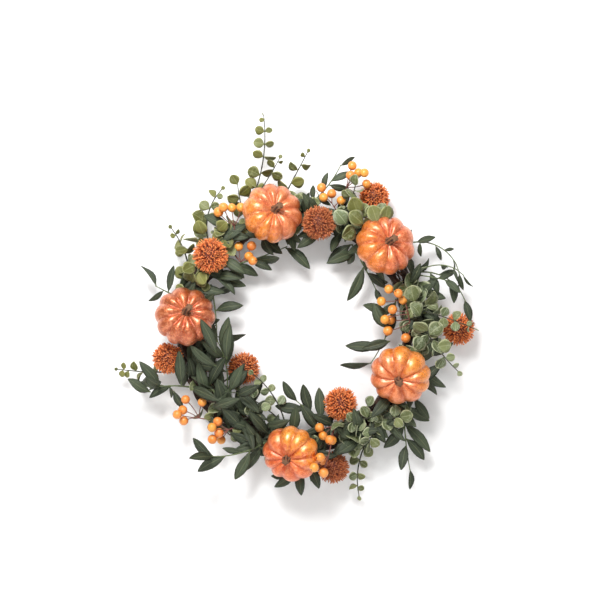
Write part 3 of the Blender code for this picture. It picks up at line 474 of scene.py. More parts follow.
class Finish:
    """A Principled material whose nodes are added and linked by short calls."""

    def __init__(self, name, **constants):
        """A new material, with the shader's constants by socket name."""
        self.material = bpy.data.materials.new(name)
        self.material.use_nodes = True
        self.tree = self.material.node_tree
        self.shader = self.tree.nodes["Principled BSDF"]
        for socket, value in constants.items():
            self.shader.inputs[socket.replace("_", " ")].default_value = value

    def node(self, kind, inputs=(), **settings):
        """A node with its settings, and its inputs by name or place."""
        return add_node(self.tree, kind, inputs, **settings)

    def attribute(self, name):
        """The value that the mesh keeps under a name."""
        return self.node("ShaderNodeAttribute", attribute_name=name).outputs["Fac"]

    def place(self):
        """Object coordinates."""
        return self.node("ShaderNodeTexCoord").outputs["Object"]

    def math(self, operation, a, b=0.0):
        """The result of one sum."""
        return calculate(self.tree, operation, a, b)

    def ramp(self, value, low, high, start=0.0, end=1.0):
        """A value carried smoothly from low..high to start..end."""
        inputs = {"Value": value, "From Min": low, "From Max": high, "To Min": start, "To Max": end}
        return self.node("ShaderNodeMapRange", inputs, interpolation_type="SMOOTHSTEP").outputs["Result"]

    def mix(self, factor, a, b, blend="MIX"):
        """Two colours mixed."""
        first, second = ((*c, 1) if isinstance(c, tuple) else c for c in (a, b))
        made = self.node("ShaderNodeMix", data_type="RGBA", blend_type=blend)
        for place, value in ((0, factor), (6, first), (7, second)):
            put(self.tree, made.inputs[place], value)
        return made.outputs[2]

    def cover(self, colour, over, mask, share):
        """A colour covered by another, through a share of a mask."""
        return self.mix(self.math("MULTIPLY", mask, share), colour, over)

    def noise(self, scale):
        """Noise from nought to one."""
        inputs = {"Scale": scale, "Vector": self.place()}
        return self.node("ShaderNodeTexNoise", inputs).outputs["Fac"]

    def group(self, tree, inputs):
        """The mask of one of the shared effects."""
        made = self.node("ShaderNodeGroup", node_tree=tree)
        for key, value in inputs.items():
            put(self.tree, made.inputs[key], value)
        return made.outputs["Mask"]

    def mottle(self, scale, fine, contrast):
        """The mask of the shared mottle."""
        return self.group(MOTTLE, {"Scale": scale, "Fine": fine, "Contrast": contrast})

    def colour(self, value):
        """Set or link the base colour."""
        put(self.tree, self.shader.inputs["Base Color"], value)

    def roughness(self, value):
        """Link the roughness."""
        put(self.tree, self.shader.inputs["Roughness"], value)

    def bump(self, height, distance, strength):
        """Raise the surface by a height, over a distance in metres."""
        inputs = {"Height": height, "Distance": distance, "Strength": strength}
        put(self.tree, self.shader.inputs["Normal"], self.node("ShaderNodeBump", inputs).outputs["Normal"])


def pumpkin_paint(name, middle, body, blush, blush_angle, speckles, metal):
    """Pearl paint on foam: a blush to one side, a painted shade in the grooves, a painted highlight on the
    crests, and specks in the blush.

    The blush starts where the distance from the pumpkin's middle, along the blush's way, passes
    BLUSH_EDGE, and the mottle moves that edge in and out by BLUSH_WANDER.
    """
    paint = Finish(name, Metallic=metal, Specular_IOR_Level=0.3, Coat_Weight=1.0, Coat_Roughness=0.36,
                   Coat_IOR=1.6, Coat_Tint=(1, 0.87, 0.76, 1))
    centred = paint.node("ShaderNodeVectorMath", {0: paint.place(), 1: tuple(-middle)}, operation="ADD")
    side = paint.node("ShaderNodeVectorMath", {0: centred.outputs[0], 1: tuple(radial(blush_angle))},
                      operation="DOT_PRODUCT").outputs["Value"]
    mottle = paint.mottle(38.0, 5.0, 2.4)
    wander = paint.math("MULTIPLY", mottle, BLUSH_WANDER)
    blushed = paint.ramp(paint.math("ADD", side, wander), *BLUSH_EDGE)
    groove = paint.ramp(paint.attribute("crest"), 0.15, 0.7, 1.0, 0.0)
    crest = paint.ramp(paint.attribute("crest"), 0.55, 1.0)
    groove_shade_and_fleck = tuple(value * share for value, share in zip(body, PAINTED_GROOVE_SHADE))
    pale = tuple(min(1.0, value * share + 0.02) for value, share in zip(body, PAINTED_CREST_HIGHLIGHT))
    # Painted highlight: the rib crests lightened towards a pale colour, in a mottled share.
    colour = paint.mix(paint.math("MULTIPLY", crest, paint.ramp(mottle, 0.3, 0.8, 0.15, 0.75)), body, pale)
    colour = paint.mix(blushed, colour, blush)
    # Painted shade: the grooves darkened towards the groove shade colour.
    colour = paint.cover(colour, groove_shade_and_fleck, groove, 0.5)
    fleck = paint.mottle(210.0, 3.0, 4.0)
    colour = paint.cover(colour, (0.95, 0.50, 0.29), paint.ramp(fleck, 0.75, 1.0), 0.35)
    # Random dark flecks, in the colour of the painted groove shade.
    colour = paint.cover(colour, groove_shade_and_fleck, paint.ramp(fleck, 0.28, 0.0), 0.35)
    if speckles:
        specks = paint.group(SPECKS, {"Scale": 360.0, "Size": 0.26, "Share": 0.42})
        colour = paint.cover(colour, (0.13, 0.035, 0.01), paint.math("MULTIPLY", specks, blushed),
                             0.75 * speckles)
    paint.colour(colour)
    paint.roughness(paint.ramp(mottle, 0.0, 1.0, 0.27, 0.42))
    paint.bump(fleck, 0.0004, 0.5)
    return paint.material


def stub_bark():
    """Dry brown pumpkin stem, with painted shade between its ridges and a painted highlight along them."""
    bark = Finish("pumpkin_stub_bark", Roughness=0.7)
    ridge = bark.attribute("crest")
    mottle = bark.mottle(260.0, 4.0, 2.5)
    # Painted shade between the ridges and a painted highlight along them.
    colour = bark.mix(bark.ramp(ridge, 0.1, 0.9), (0.034, 0.011, 0.005), (0.20, 0.080, 0.034))
    colour = bark.cover(colour, (0.34, 0.18, 0.09), bark.ramp(mottle, 0.55, 1.0), 0.4)
    colour = bark.mix(bark.ramp(bark.attribute("along"), 0.93, 1.0, 0.0, 0.8), colour, (0.17, 0.08, 0.035))
    bark.colour(colour)
    bark.bump(mottle, 0.0006, 0.7)
    return bark.material


def petal_fabric():
    """Mum petals: dark red-brown at the root as painted shade deep in the pompon, burnt orange, and a peach
    tip, varied petal by petal.
    """
    fabric = Finish("mum_petals", Roughness=0.62, Sheen_Weight=0.12, Sheen_Roughness=0.5)
    along, tint = fabric.attribute("along"), fabric.attribute("tint")
    # Dark red-brown towards the root: painted shade deep inside the pompon.
    colour = fabric.mix(fabric.ramp(along, 0.15, 0.8), (0.10, 0.013, 0.003), (0.62, 0.135, 0.024))
    colour = fabric.mix(fabric.ramp(along, 0.7, 1.0), colour, (0.92, 0.35, 0.12))
    colour = fabric.mix(fabric.math("MULTIPLY", tint, 0.5), colour, (0.93, 0.42, 0.14), "SOFT_LIGHT")
    dark = fabric.ramp(tint, 0.32, 0.0, 0.0, 0.6)
    colour = fabric.mix(dark, colour, (0.19, 0.032, 0.008))
    fabric.colour(colour)
    return fabric.material


def berry_lacquer():
    """Satin lacquer from orange to yellow by berry, darker towards the stalk as painted shade, with a small
    dark tip.
    """
    lacquer = Finish("berry_lacquer", Coat_Weight=0.2, Coat_Roughness=0.3)
    along = lacquer.attribute("along")
    mottle = lacquer.mottle(120.0, 4.0, 2.2)
    colour = lacquer.mix(lacquer.attribute("tint"), (0.74, 0.190, 0.028), (0.78, 0.310, 0.038))
    colour = lacquer.cover(colour, (0.84, 0.40, 0.11), mottle, 0.35)
    # Darker towards the stalk: painted shade where the berry meets its stalk.
    colour = lacquer.mix(lacquer.ramp(along, 0.30, 0.0, 0.0, 0.65), colour, (0.44, 0.085, 0.012))
    colour = lacquer.mix(lacquer.ramp(along, 0.975, 0.995), colour, (0.12, 0.04, 0.012))
    lacquer.colour(colour)
    lacquer.roughness(lacquer.ramp(mottle, 0.0, 1.0, 0.34, 0.5))
    lacquer.bump(mottle, 0.0004, 0.35)
    return lacquer.material


def berry_stalk():
    """Dark red-brown wrapped wire."""
    wire = Finish("berry_stalk", Roughness=0.6)
    mottle = wire.mottle(240.0, 3.0, 2.0)
    wire.colour(wire.mix(mottle, (0.10, 0.030, 0.022), (0.24, 0.09, 0.07)))
    return wire.material


def leaf_veins(leaf, count):
    """Fine lines that run along a leaf: a sine of its width parameter, wandering a little."""
    across = leaf.attribute("leaf_v")
    wander = leaf.math("MULTIPLY", leaf.noise(90.0), 0.5)
    return leaf.math("SINE", leaf.math("MULTIPLY", leaf.math("ADD", across, wander), count))


def olive_leaf():
    """Olive leaves: dark green cloth with lengthwise lines, a pale midrib and a greyer back."""
    leaf = Finish("olive_leaf", Specular_IOR_Level=0.32)
    across, tint, back = (leaf.attribute(n) for n in ("leaf_v", "tint", "back"))
    mottle = leaf.mottle(75.0, 5.0, 2.0)
    veins = leaf_veins(leaf, 26.0)
    colour = leaf.mix(tint, (0.012, 0.018, 0.010), (0.056, 0.074, 0.040))
    colour = leaf.cover(colour, (0.058, 0.075, 0.042), mottle, 0.4)
    colour = leaf.mix(leaf.ramp(veins, 0.3, 1.0, 0.0, 0.6), colour, (0.110, 0.130, 0.078))
    rib = leaf.ramp(leaf.math("ABSOLUTE", across), 0.13, 0.03)
    colour = leaf.cover(colour, (0.17, 0.19, 0.10), rib, 0.42)
    colour = leaf.mix(leaf.ramp(back, 0.5, 1.0, 0.0, 0.45), colour, (0.13, 0.16, 0.12))
    colour = leaf.mix(leaf.ramp(leaf.attribute("leaf_u"), 0.14, 0.0, 0.0, 0.75), colour, (0.17, 0.22, 0.09))
    leaf.colour(colour)
    leaf.roughness(leaf.ramp(mottle, 0.0, 1.0, 0.42, 0.6))
    leaf.bump(leaf.math("SUBTRACT", veins, leaf.math("MULTIPLY", rib, 2.0)), 0.0003, 0.6)
    return leaf.material


def eucalyptus_leaf():
    """Round leaves from olive to dusty green, with a pale rim, a faint bloom and a paler back."""
    leaf = Finish("eucalyptus_leaf", Specular_IOR_Level=0.3, Sheen_Weight=0.08, Sheen_Roughness=0.45)
    across, along, tint, dust, back = (
        leaf.attribute(n) for n in ("leaf_v", "leaf_u", "tint", "dust", "back"))
    mottle = leaf.mottle(85.0, 5.0, 2.2)
    olive = leaf.mix(tint, (0.070, 0.074, 0.010), (0.185, 0.185, 0.050))
    dusty = leaf.mix(tint, (0.052, 0.072, 0.030), (0.170, 0.210, 0.100))
    colour = leaf.mix(dust, olive, dusty)
    bloom = leaf.mix(dust, (0.17, 0.175, 0.06), (0.30, 0.34, 0.24))
    colour = leaf.cover(colour, bloom, leaf.ramp(mottle, 0.45, 1.0), 0.6)
    rib = leaf.ramp(leaf.math("ABSOLUTE", across), 0.07, 0.015)
    edge = leaf.math("MAXIMUM", leaf.ramp(leaf.math("ABSOLUTE", across), 0.72, 0.88),
                     leaf.ramp(along, 0.90, 0.97))
    pale = leaf.mix(dust, (0.34, 0.34, 0.12), (0.55, 0.58, 0.38))
    colour = leaf.cover(colour, pale, rib, 0.4)
    colour = leaf.cover(colour, pale, edge, 0.8)
    colour = leaf.mix(leaf.ramp(back, 0.5, 1.0, 0.0, 0.45), colour, (0.25, 0.29, 0.18))
    leaf.colour(colour)
    leaf.roughness(leaf.ramp(mottle, 0.0, 1.0, 0.42, 0.62))
    leaf.bump(leaf.math("SUBTRACT", mottle, leaf.math("MULTIPLY", rib, 0.6)), 0.0004, 0.45)
    return leaf.material


def twig(name, dark, pale, scale):
    """A stem or vine: a dark bark with paler flecks along it."""
    bark = Finish(name, Roughness=0.68)
    mottle = bark.mottle(scale, 5.0, 2.6)
    tint = bark.math("MULTIPLY", bark.attribute("tint"), 0.4)
    shade = bark.math("ADD", bark.math("MULTIPLY", mottle, 0.6), tint)
    bark.colour(bark.mix(shade, dark, pale))
    bark.bump(mottle, 0.0006, 0.7)
    return bark.material


def wire_finish():
    """Dull brown paper-wrapped wire."""
    wire = Finish("binding_wire", Roughness=0.62, Metallic=0.1)
    mottle = wire.mottle(400.0, 3.0, 2.0)
    wire.colour(wire.mix(mottle, (0.035, 0.022, 0.015), (0.115, 0.075, 0.045)))
    wire.bump(mottle, 0.0003, 0.5)
    return wire.material


# ---------------------------------------------------------------- vine ring


TWIGS_PER_CANE = 26
TWIG_STEPS = 110
TWIG_SIDES = 5


def vine_cane(index, finish, rng):
    """A strand of thin twigs that winds round the ring's centre line in the place of one cane.

    A twig runs over part of the ring. Its distance from the cane's centre and its turn about it
    wander as sums of two sines, and its radius falls towards both of its ends.
    """
    count = TWIGS_PER_CANE
    share = np.linspace(0, 1, TWIG_STEPS)
    start, span = rng.uniform(0, 360, count), rng.uniform(150, 330, count)
    angle = start[:, None] + span[:, None] * share
    turn = np.radians(angle)
    phase = CANE_TWISTS * turn + 2 * np.pi * index / CANE_COUNT
    radius = rng.uniform(0.6, 1.7, count) * MM
    thin = np.sin(np.pi * np.clip(share * 0.96 + 0.02, 0, 1)) ** 0.35
    waves = [rng.uniform(0, 2 * np.pi, (count, 1)) for _ in range(4)]
    wander = 0.22 * np.sin(5 * turn + waves[0]) + 0.16 * np.sin(13 * turn + waves[1])
    reach = (CANE_RADIUS - radius)[:, None] * np.clip(rng.uniform(0.45, 1.0, (count, 1)) + wander, 0, 1.12)
    spin = waves[2] + 3.0 * turn + 0.5 * np.sin(7 * turn + waves[3])
    out = CANE_OFFSET * np.cos(phase) + reach * np.cos(spin)
    front = CANE_OFFSET * np.sin(phase) + reach * np.sin(spin)
    lines = radial(angle) * (RING_RADIUS + out)[..., None] + FORWARD * front[..., None]
    shell = Shell()
    tint = rng.uniform(0, 1, (count, 1, 1))
    shell.add_rings(tube_rings(lines, radius[:, None] * thin, TWIG_SIDES), tint=tint)
    name = f"vine_cane_{index + 1}"
    make_piece(f"{name}_twigs", shell, [finish], replaces=[name])


def wound_band(name, angle, finish):
    """Wire wound round the bundle: a helix whose pitch is its own width, its ends tucked under."""
    turns, steps, sides = 5, 200, 6
    radius = BAND_THICKNESS / 2
    share = np.linspace(0, 1, steps)
    spin = 2 * np.pi * turns * share
    out, along = radial(angle), np.cross(radial(angle), FORWARD)
    side = (share - 0.5) * (BAND_WIDTH - 2 * radius)
    reach = BUNDLE_RADIUS + GAP + radius - 1.5 * MM * smoothstep(0.97, 1.0, np.abs(2 * share - 1))
    line = (out * RING_RADIUS + np.cos(spin)[:, None] * reach[:, None] * out
            + np.sin(spin)[:, None] * reach[:, None] * FORWARD + side[:, None] * along)
    shell = Shell()
    shell.add_rings(wire_rings(line, radius, sides))
    if name == "band_top":
        shell.add_rings(eye_rings())
    make_piece(f"{name}_winding", shell, [finish], replaces=[name])


def wire_rings(line, radius, sides):
    """Rings of a wire that turns about its own middle, which is the reference for its sides."""
    return tube_rings(line[None], radius, sides, line - line.mean(axis=0))


def eye_rings():
    """The hanging eye: one wire that goes round a circle from its foot and back to it."""
    steps, sides = 60, 8
    lean = math.radians(EYE_LEAN)
    spin = np.linspace(-np.pi / 2, 1.5 * np.pi, steps)
    middle = np.array((0, BAND_OUTER * math.sin(lean) - EYE_WIRE, EYE_CENTRE_Z))
    line = middle + EYE_RADIUS * np.stack((np.cos(spin), np.zeros(steps), np.sin(spin)), axis=-1)
    line[:, 2] -= 2.0 * MM * smoothstep(0.9, 1.0, np.abs(np.linspace(-1, 1, steps)))
    return wire_rings(line, EYE_WIRE * 0.95, sides)


# ---------------------------------------------------------------- pumpkins


def pumpkin_axes(angle, offset, tilt, tilt_direction, size):
    """The place of a pumpkin's middle, and its own x, y and z directions as rows.

    Its axis leans from forward towards the tilt direction, and its back rests on the bands.
    """
    lean = math.radians(tilt)
    back = math.hypot(PUMPKIN_HALF_HEIGHT * math.cos(lean), PUMPKIN_RADIUS * math.sin(lean)) * size
    middle = radial(angle) * (RING_RADIUS + offset * MM) + FORWARD * (BAND_OUTER + GAP + back)
    axis = FORWARD * math.cos(lean) + radial(tilt_direction) * math.sin(lean)
    turn = Vector((0, 0, 1)).rotation_difference(Vector(axis)).to_matrix()
    return middle, np.array(turn.transposed()) * size


def pumpkin_shell(seed):
    """A ribbed, flattened ball, dimpled at both ends, as rings from its back to its front.

    reach = radius * cos(rise) ** 0.8 and height = half height * sin(rise) less a Gaussian dimple. The
    grooves sink along the profile's own normal by depth * (1 - crest), where crest is
    (cos(ribs / 2 * turn) ** 2 + 0.02) ** 0.4, and the ribs differ a little in width and fullness.
    """
    around, rings = 200, 76
    rng = np.random.default_rng(seed)
    rise = np.radians(np.linspace(-88.6, 88.6, rings))
    reach = PUMPKIN_RADIUS * np.cos(rise) ** 0.8
    dip = DIMPLE_DEPTH * np.exp(-(reach / (0.42 * PUMPKIN_RADIUS)) ** 2)
    height = np.sin(rise) * PUMPKIN_HALF_HEIGHT - np.copysign(dip, rise)
    slope = unit(np.stack((np.gradient(reach), np.gradient(height)), axis=-1))
    turn = 2 * np.pi * np.arange(around) / around
    waves = rng.uniform(0, 2 * np.pi, 4)
    bent = turn + 0.07 * np.sin(2 * turn + waves[0]) + 0.04 * np.sin(3 * turn + waves[1])
    crest = (np.cos(PUMPKIN_RIBS / 2 * bent) ** 2 + 0.02) ** 0.4
    full = 1 + 0.18 * np.sin(bent * 2 + waves[2]) * np.sin(bent * 5 + waves[3])
    fade = smoothstep(0, 0.45, reach / PUMPKIN_RADIUS)[:, None]
    depth = GROOVE_DEPTH * (1 - crest) * full * fade
    round_reach = reach[:, None] - depth * slope[:, 1:]
    lifted = height[:, None] + depth * slope[:, :1]
    sag = 1 + 0.012 * np.sin(turn + waves[1])
    wide = round_reach * sag
    points = np.stack((np.cos(turn) * wide, np.sin(turn) * wide, lifted), axis=-1)
    return points, np.broadcast_to(crest * fade + (1 - fade) * 0.35, points.shape[:2])


def stub_shell(seed):
    """A stub with five twisting ridges: its radius flares at its foot and swells at its cut top.

    radius = base * flare(share) * (1 + ridge * cos(5 * turn + twist * share)).
    """
    around, rings, ridges = 40, 26, 5
    rng = np.random.default_rng(seed)
    share = np.linspace(0, 1, rings)
    base = PUMPKIN_HALF_HEIGHT - DIMPLE_DEPTH + GAP
    flare = 0.53 + 0.45 * np.exp(-share * 7) + 0.22 * share ** 2
    flare = flare * (1 - 0.18 * smoothstep(0.93, 1.0, share))
    turn = 2 * np.pi * np.arange(around) / around
    twist = rng.uniform(0.6, 1.6)
    ridge = np.cos(ridges * turn + twist * share[:, None] * 2)
    knobs = 0.05 * np.sin(9 * turn + 14 * share[:, None]) + 0.05 * np.sin(3 * turn + 21 * share[:, None])
    radius = STUB_BASE * flare[:, None] * (0.93 + 0.14 * ridge + knobs * (share[:, None] > 0.1))
    x = np.cos(turn) * radius + 4.2 * MM * share[:, None] ** 2
    y = np.sin(turn) * radius + 2.0 * MM * share[:, None] ** 2
    z = np.broadcast_to((base + STUB_HEIGHT * share)[:, None], radius.shape)
    crest = np.broadcast_to(0.5 + 0.5 * ridge, radius.shape)
    along = np.broadcast_to(share[:, None], radius.shape)
    return np.stack((x, y, z), axis=-1), crest, along


def pumpkin(index, bark):
    """One pumpkin and its stub."""
    middle, axes = pumpkin_axes(*PUMPKINS[index])
    number = index + 1
    paint = pumpkin_paint(f"pumpkin_paint_{number}", middle + RING_CENTRE, *PUMPKIN_PAINTS[index])
    points, crest = pumpkin_shell(number)
    shell = Shell()
    shell.add_rings((points @ axes + middle)[None], crest=crest[None])
    make_piece(f"pumpkin_{number}_shell", shell, [paint], replaces=[f"pumpkin_{number}"])
    points, crest, along = stub_shell(number)
    stub = Shell()
    stub.add_rings((points @ axes + middle)[None], crest=crest[None], along=along[None])
    name = f"pumpkin_stem_{number}"
    make_piece(f"{name}_stub", stub, [bark], replaces=[name])


# ---------------------------------------------------------------- mums


def mum_middle(index):
    """The middle of a mum, from its CAD node: the box's front and sides are the ball's."""
    low = np.array(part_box(f"mum_{index + 1}")[0]) - RING_CENTRE
    radius = MUM_RADIUS * MUM_SIZES[index]
    points = cad_points(f"mum_{index + 1}")
    front = points[points[:, 1] < low[1] + 0.6 * radius * MUM_FLATNESS]
    middle = (front.min(axis=0) + front.max(axis=0)) / 2
    return np.array((middle[0], low[1] + radius * MUM_FLATNESS, middle[2])), radius


def mum(index, finishes, rng):
    """A pompon of quill petals: each stands out from a flattened ball along its normal.

    Petals sit on a Fibonacci lattice. A petal's radius rises from its root to a rounded tip, and its
    line bends by a small random amount. Petals splay outward from the pompon's front, and a core,
    dark with the petals' painted root shade, fills the middle.
    """
    middle, size = mum_middle(index)
    flat = np.array((1, MUM_FLATNESS, 1))
    k = np.arange(PETALS) + 0.5
    polar, turn = np.arccos(1 - 2 * k / PETALS), np.pi * (1 + 5 ** 0.5) * k
    way = np.stack((np.cos(turn) * np.sin(polar), np.cos(polar), np.sin(turn) * np.sin(polar)), axis=-1)
    way = unit(way + rng.normal(0, 0.05, (PETALS, 3)))
    splay = way - np.outer(way @ FORWARD, FORWARD)
    lean = unit(way / flat + 0.55 * splay + rng.normal(0, 0.24, (PETALS, 3)))
    share = np.array((0, 0.4, 0.8, 0.97))
    reach = rng.uniform(0.76, 1.08, PETALS) * size
    root = way * flat * size * 0.6
    tip = way * flat * reach[:, None] + (lean - way) * size * 0.34
    bend = rng.normal(0, 0.6 * MM, (PETALS, 3))
    lines = (root[:, None] + (tip - root)[:, None] * share[:, None]
             + bend[:, None] * (share * (1 - share) * 4)[:, None]) + middle
    radius = rng.uniform(0.85, 1.15, PETALS)[:, None] * np.array((0.36, 0.50, 0.68, 0.46)) * MM
    rings = tube_rings(lines, radius, PETAL_SIDES, PETAL_REFERENCE)
    cap = unit(lines[:, -1] - lines[:, -2]) * 0.5 * MM
    poles = np.stack((lines[:, 0], lines[:, -1] + cap), axis=1)
    tint = rng.uniform(0, MUM_TINTS[index], (PETALS, 1, 1))
    shell = Shell()
    shell.add_rings(rings, poles=poles, along=share[None, :, None], tint=tint)
    # The core takes the dark root colour: painted shade in the pompon's middle.
    shell.add_rings(core_ball(middle, size * 0.66 * flat), along=0.1)
    wire = mum_wire(middle, size)
    if wire is not None:
        shell.add_rings(wire, finish=1)
    name = f"mum_{index + 1}"
    make_piece(f"{name}_pompon", shell, finishes, replaces=[name])


def mum_wire(middle, size):
    """The wire that holds a mum to the ring, from its middle to just outside the canes."""
    core = unit(middle * np.array((1, 0, 1))) * RING_RADIUS
    way = unit(core - middle)
    foot = core - way * (BUNDLE_RADIUS - 1 * MM)
    if np.linalg.norm(foot - middle) < size * 0.8:
        return None
    line = middle + (foot - middle) * np.linspace(0, 1, 6)[:, None]
    return tube_rings(line[None], np.full((1, 6), 1.3 * MM), 8)


def core_ball(middle, radii):
    """The core, dark with the petals' painted root shade, as rings from pole to pole along Z: radius * (sin
    p cos t, sin p sin t, -cos p).
    """
    sides, rings = 24, 12
    polar = np.pi * (np.arange(rings) + 0.5) / rings
    turn = 2 * np.pi * np.arange(sides) / sides
    ball = np.stack((np.sin(polar)[:, None] * np.cos(turn), np.sin(polar)[:, None] * np.sin(turn),
                     np.broadcast_to(-np.cos(polar)[:, None], (rings, sides))), axis=-1)
    return (middle + ball * radii)[None]


# ---------------------------------------------------------------- sprays


FOUND_WITHIN = 0.3 * MM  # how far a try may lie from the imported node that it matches


def icosahedron():
    """Twelve points of a unit ball: its poles, and two rings of five at heights of root one fifth."""
    height = 5 ** -0.5
    turn = 2 * np.pi * np.arange(5) / 5
    upper = np.stack((2 * height * np.cos(turn), 2 * height * np.sin(turn), np.full(5, height)), axis=-1)
    return np.concatenate((((0, 0, 1), (0, 0, -1)), upper, -upper))


BALL_POINTS = icosahedron()


def cad_points(node):
    """The points of a CAD node, about the ring's centre."""
    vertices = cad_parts[node].data.vertices
    points = np.empty(len(vertices) * 3, np.float32)
    vertices.foreach_get("co", points)
    return points.reshape(-1, 3).astype(float) - RING_CENTRE


def near_tree(points):
    """A search tree of points."""
    tree = KDTree(len(points))
    for index, point in enumerate(points):
        tree.insert(point, index)
    tree.balance()
    return tree


def best_try(tree, tries):
    """The first of some tries whose points lie closest to the node's own, and how far off they are.

    The distance of a try is the median of its points' distances.
    """
    best, least = None, np.inf
    for key, points in tries:
        off = float(np.median([tree.find(p)[2] for p in points]))
        if off < least - 1e-6:
            best, least = key, off
    return best, least


def stem_root(angle, offset):
    """Where a stem of this offset is fixed on the bundle's front."""
    reach = BUNDLE_RADIUS + GAP + STEM_RADIUS
    out = max(-reach, min(reach, offset * MM))
    return radial(angle) * (RING_RADIUS + out) + FORWARD * math.sqrt(reach ** 2 - out ** 2)


def stem_path(root, heading, bend, length, rise):
    """Points of a stem that bends evenly in the wreath's plane while it rises forward and levels."""
    steps = max(2, round(length * MM / STEM_STEP))
    middle = (np.arange(steps) + 0.5) / steps
    strides = radial(heading + bend * middle) * length * MM / steps
    flat = root + np.concatenate((np.zeros((1, 3)), np.cumsum(strides, axis=0)))
    lift = rise * MM * np.sin(np.pi / 2 * np.arange(steps + 1) / steps)
    return flat * (1, 0, 1) + FORWARD * (lift - root[1])[:, None]


def on_path(path, share):
    """A point of a path at a share of its length, kept a little short of its end."""
    place = min(share * (len(path) - 1), len(path) - 1 - ROOTING * MM / STEM_STEP)
    i = min(int(place), len(path) - 2)
    return path[i] + (path[i + 1] - path[i]) * (place - i)


def stem_corners(path, radius):
    """The corners of the CAD stem: four at each point of its path, at 45 degrees to its plane."""
    radii = radius * (1 + (TIP_SHARE - 1) * np.linspace(0, 1, len(path)))
    ahead = np.concatenate((path[1:], path[-1:]))
    behind = np.concatenate((path[:1], path[:-1]))
    along = unit(ahead - behind)
    across = unit(np.cross(along, FORWARD))
    up = np.cross(across, along)
    turn = 2 * np.pi * (np.arange(4) + 0.5) / 4
    spokes = across[:, None] * np.cos(turn)[:, None] - up[:, None] * np.sin(turn)[:, None]
    return (path[:, None] + radii[:, None, None] * spokes)[1:].reshape(-1, 3)


def leaf_frame(heading, tilt, roll):
    """A leaf's direction along, its side, and its normal."""
    lean, spin = math.radians(tilt), math.radians(roll)
    along = radial(heading) * math.cos(lean) + FORWARD * math.sin(lean)
    across = unit(np.cross(along, FORWARD))
    face = np.cross(across, along)
    side = across * math.cos(spin) + face * math.sin(spin)
    return along, side, np.cross(side, along)


def leaf_corners(kind, base, pose, size):
    """The corners of the CAD leaf plate that lie clear of the stem: its upper widest two and its tip."""
    share, widest, _, high = LEAF_SHAPES[kind]
    half = min(size * MM * share, widest) / 2
    along, side, normal = leaf_frame(*pose)
    reach = base + along * size * MM * high
    outline = np.array((reach + side * half, base + along * size * MM, reach - side * half))
    return np.concatenate((outline + normal * LEAF_THICKNESS / 2, outline - normal * LEAF_THICKNESS / 2))


SLIMNESS = {"olive": 0.86, "eucalyptus": 1.0}  # a curved leaf's width over its flat plate's
LEAF_STEPS = np.array((0.0, 0.09, 0.2, 0.36, 0.53, 0.70, 0.85, 0.95))
# A leaf's section: (share of the half width, one on the back and minus one on the front)
LEAF_RING = np.array(((1, 0), (0.5, 1), (0, 1), (-0.5, 1), (-1, 0), (-0.5, -1), (0, -1), (0.5, -1)), float)


def leaf_outline(kind):
    """Half width over its greatest at each step: a power of a sine, with a thin stalk at the base."""
    share = np.clip((LEAF_STEPS - 0.05) / 0.95, 0, 1)
    if kind == "olive":
        return 1.04 * np.sin(np.pi * share ** 0.95) ** 0.76
    return 1.04 * np.clip(1 - np.abs(2 * share - 1) ** 1.9, 0, 1) ** 0.66


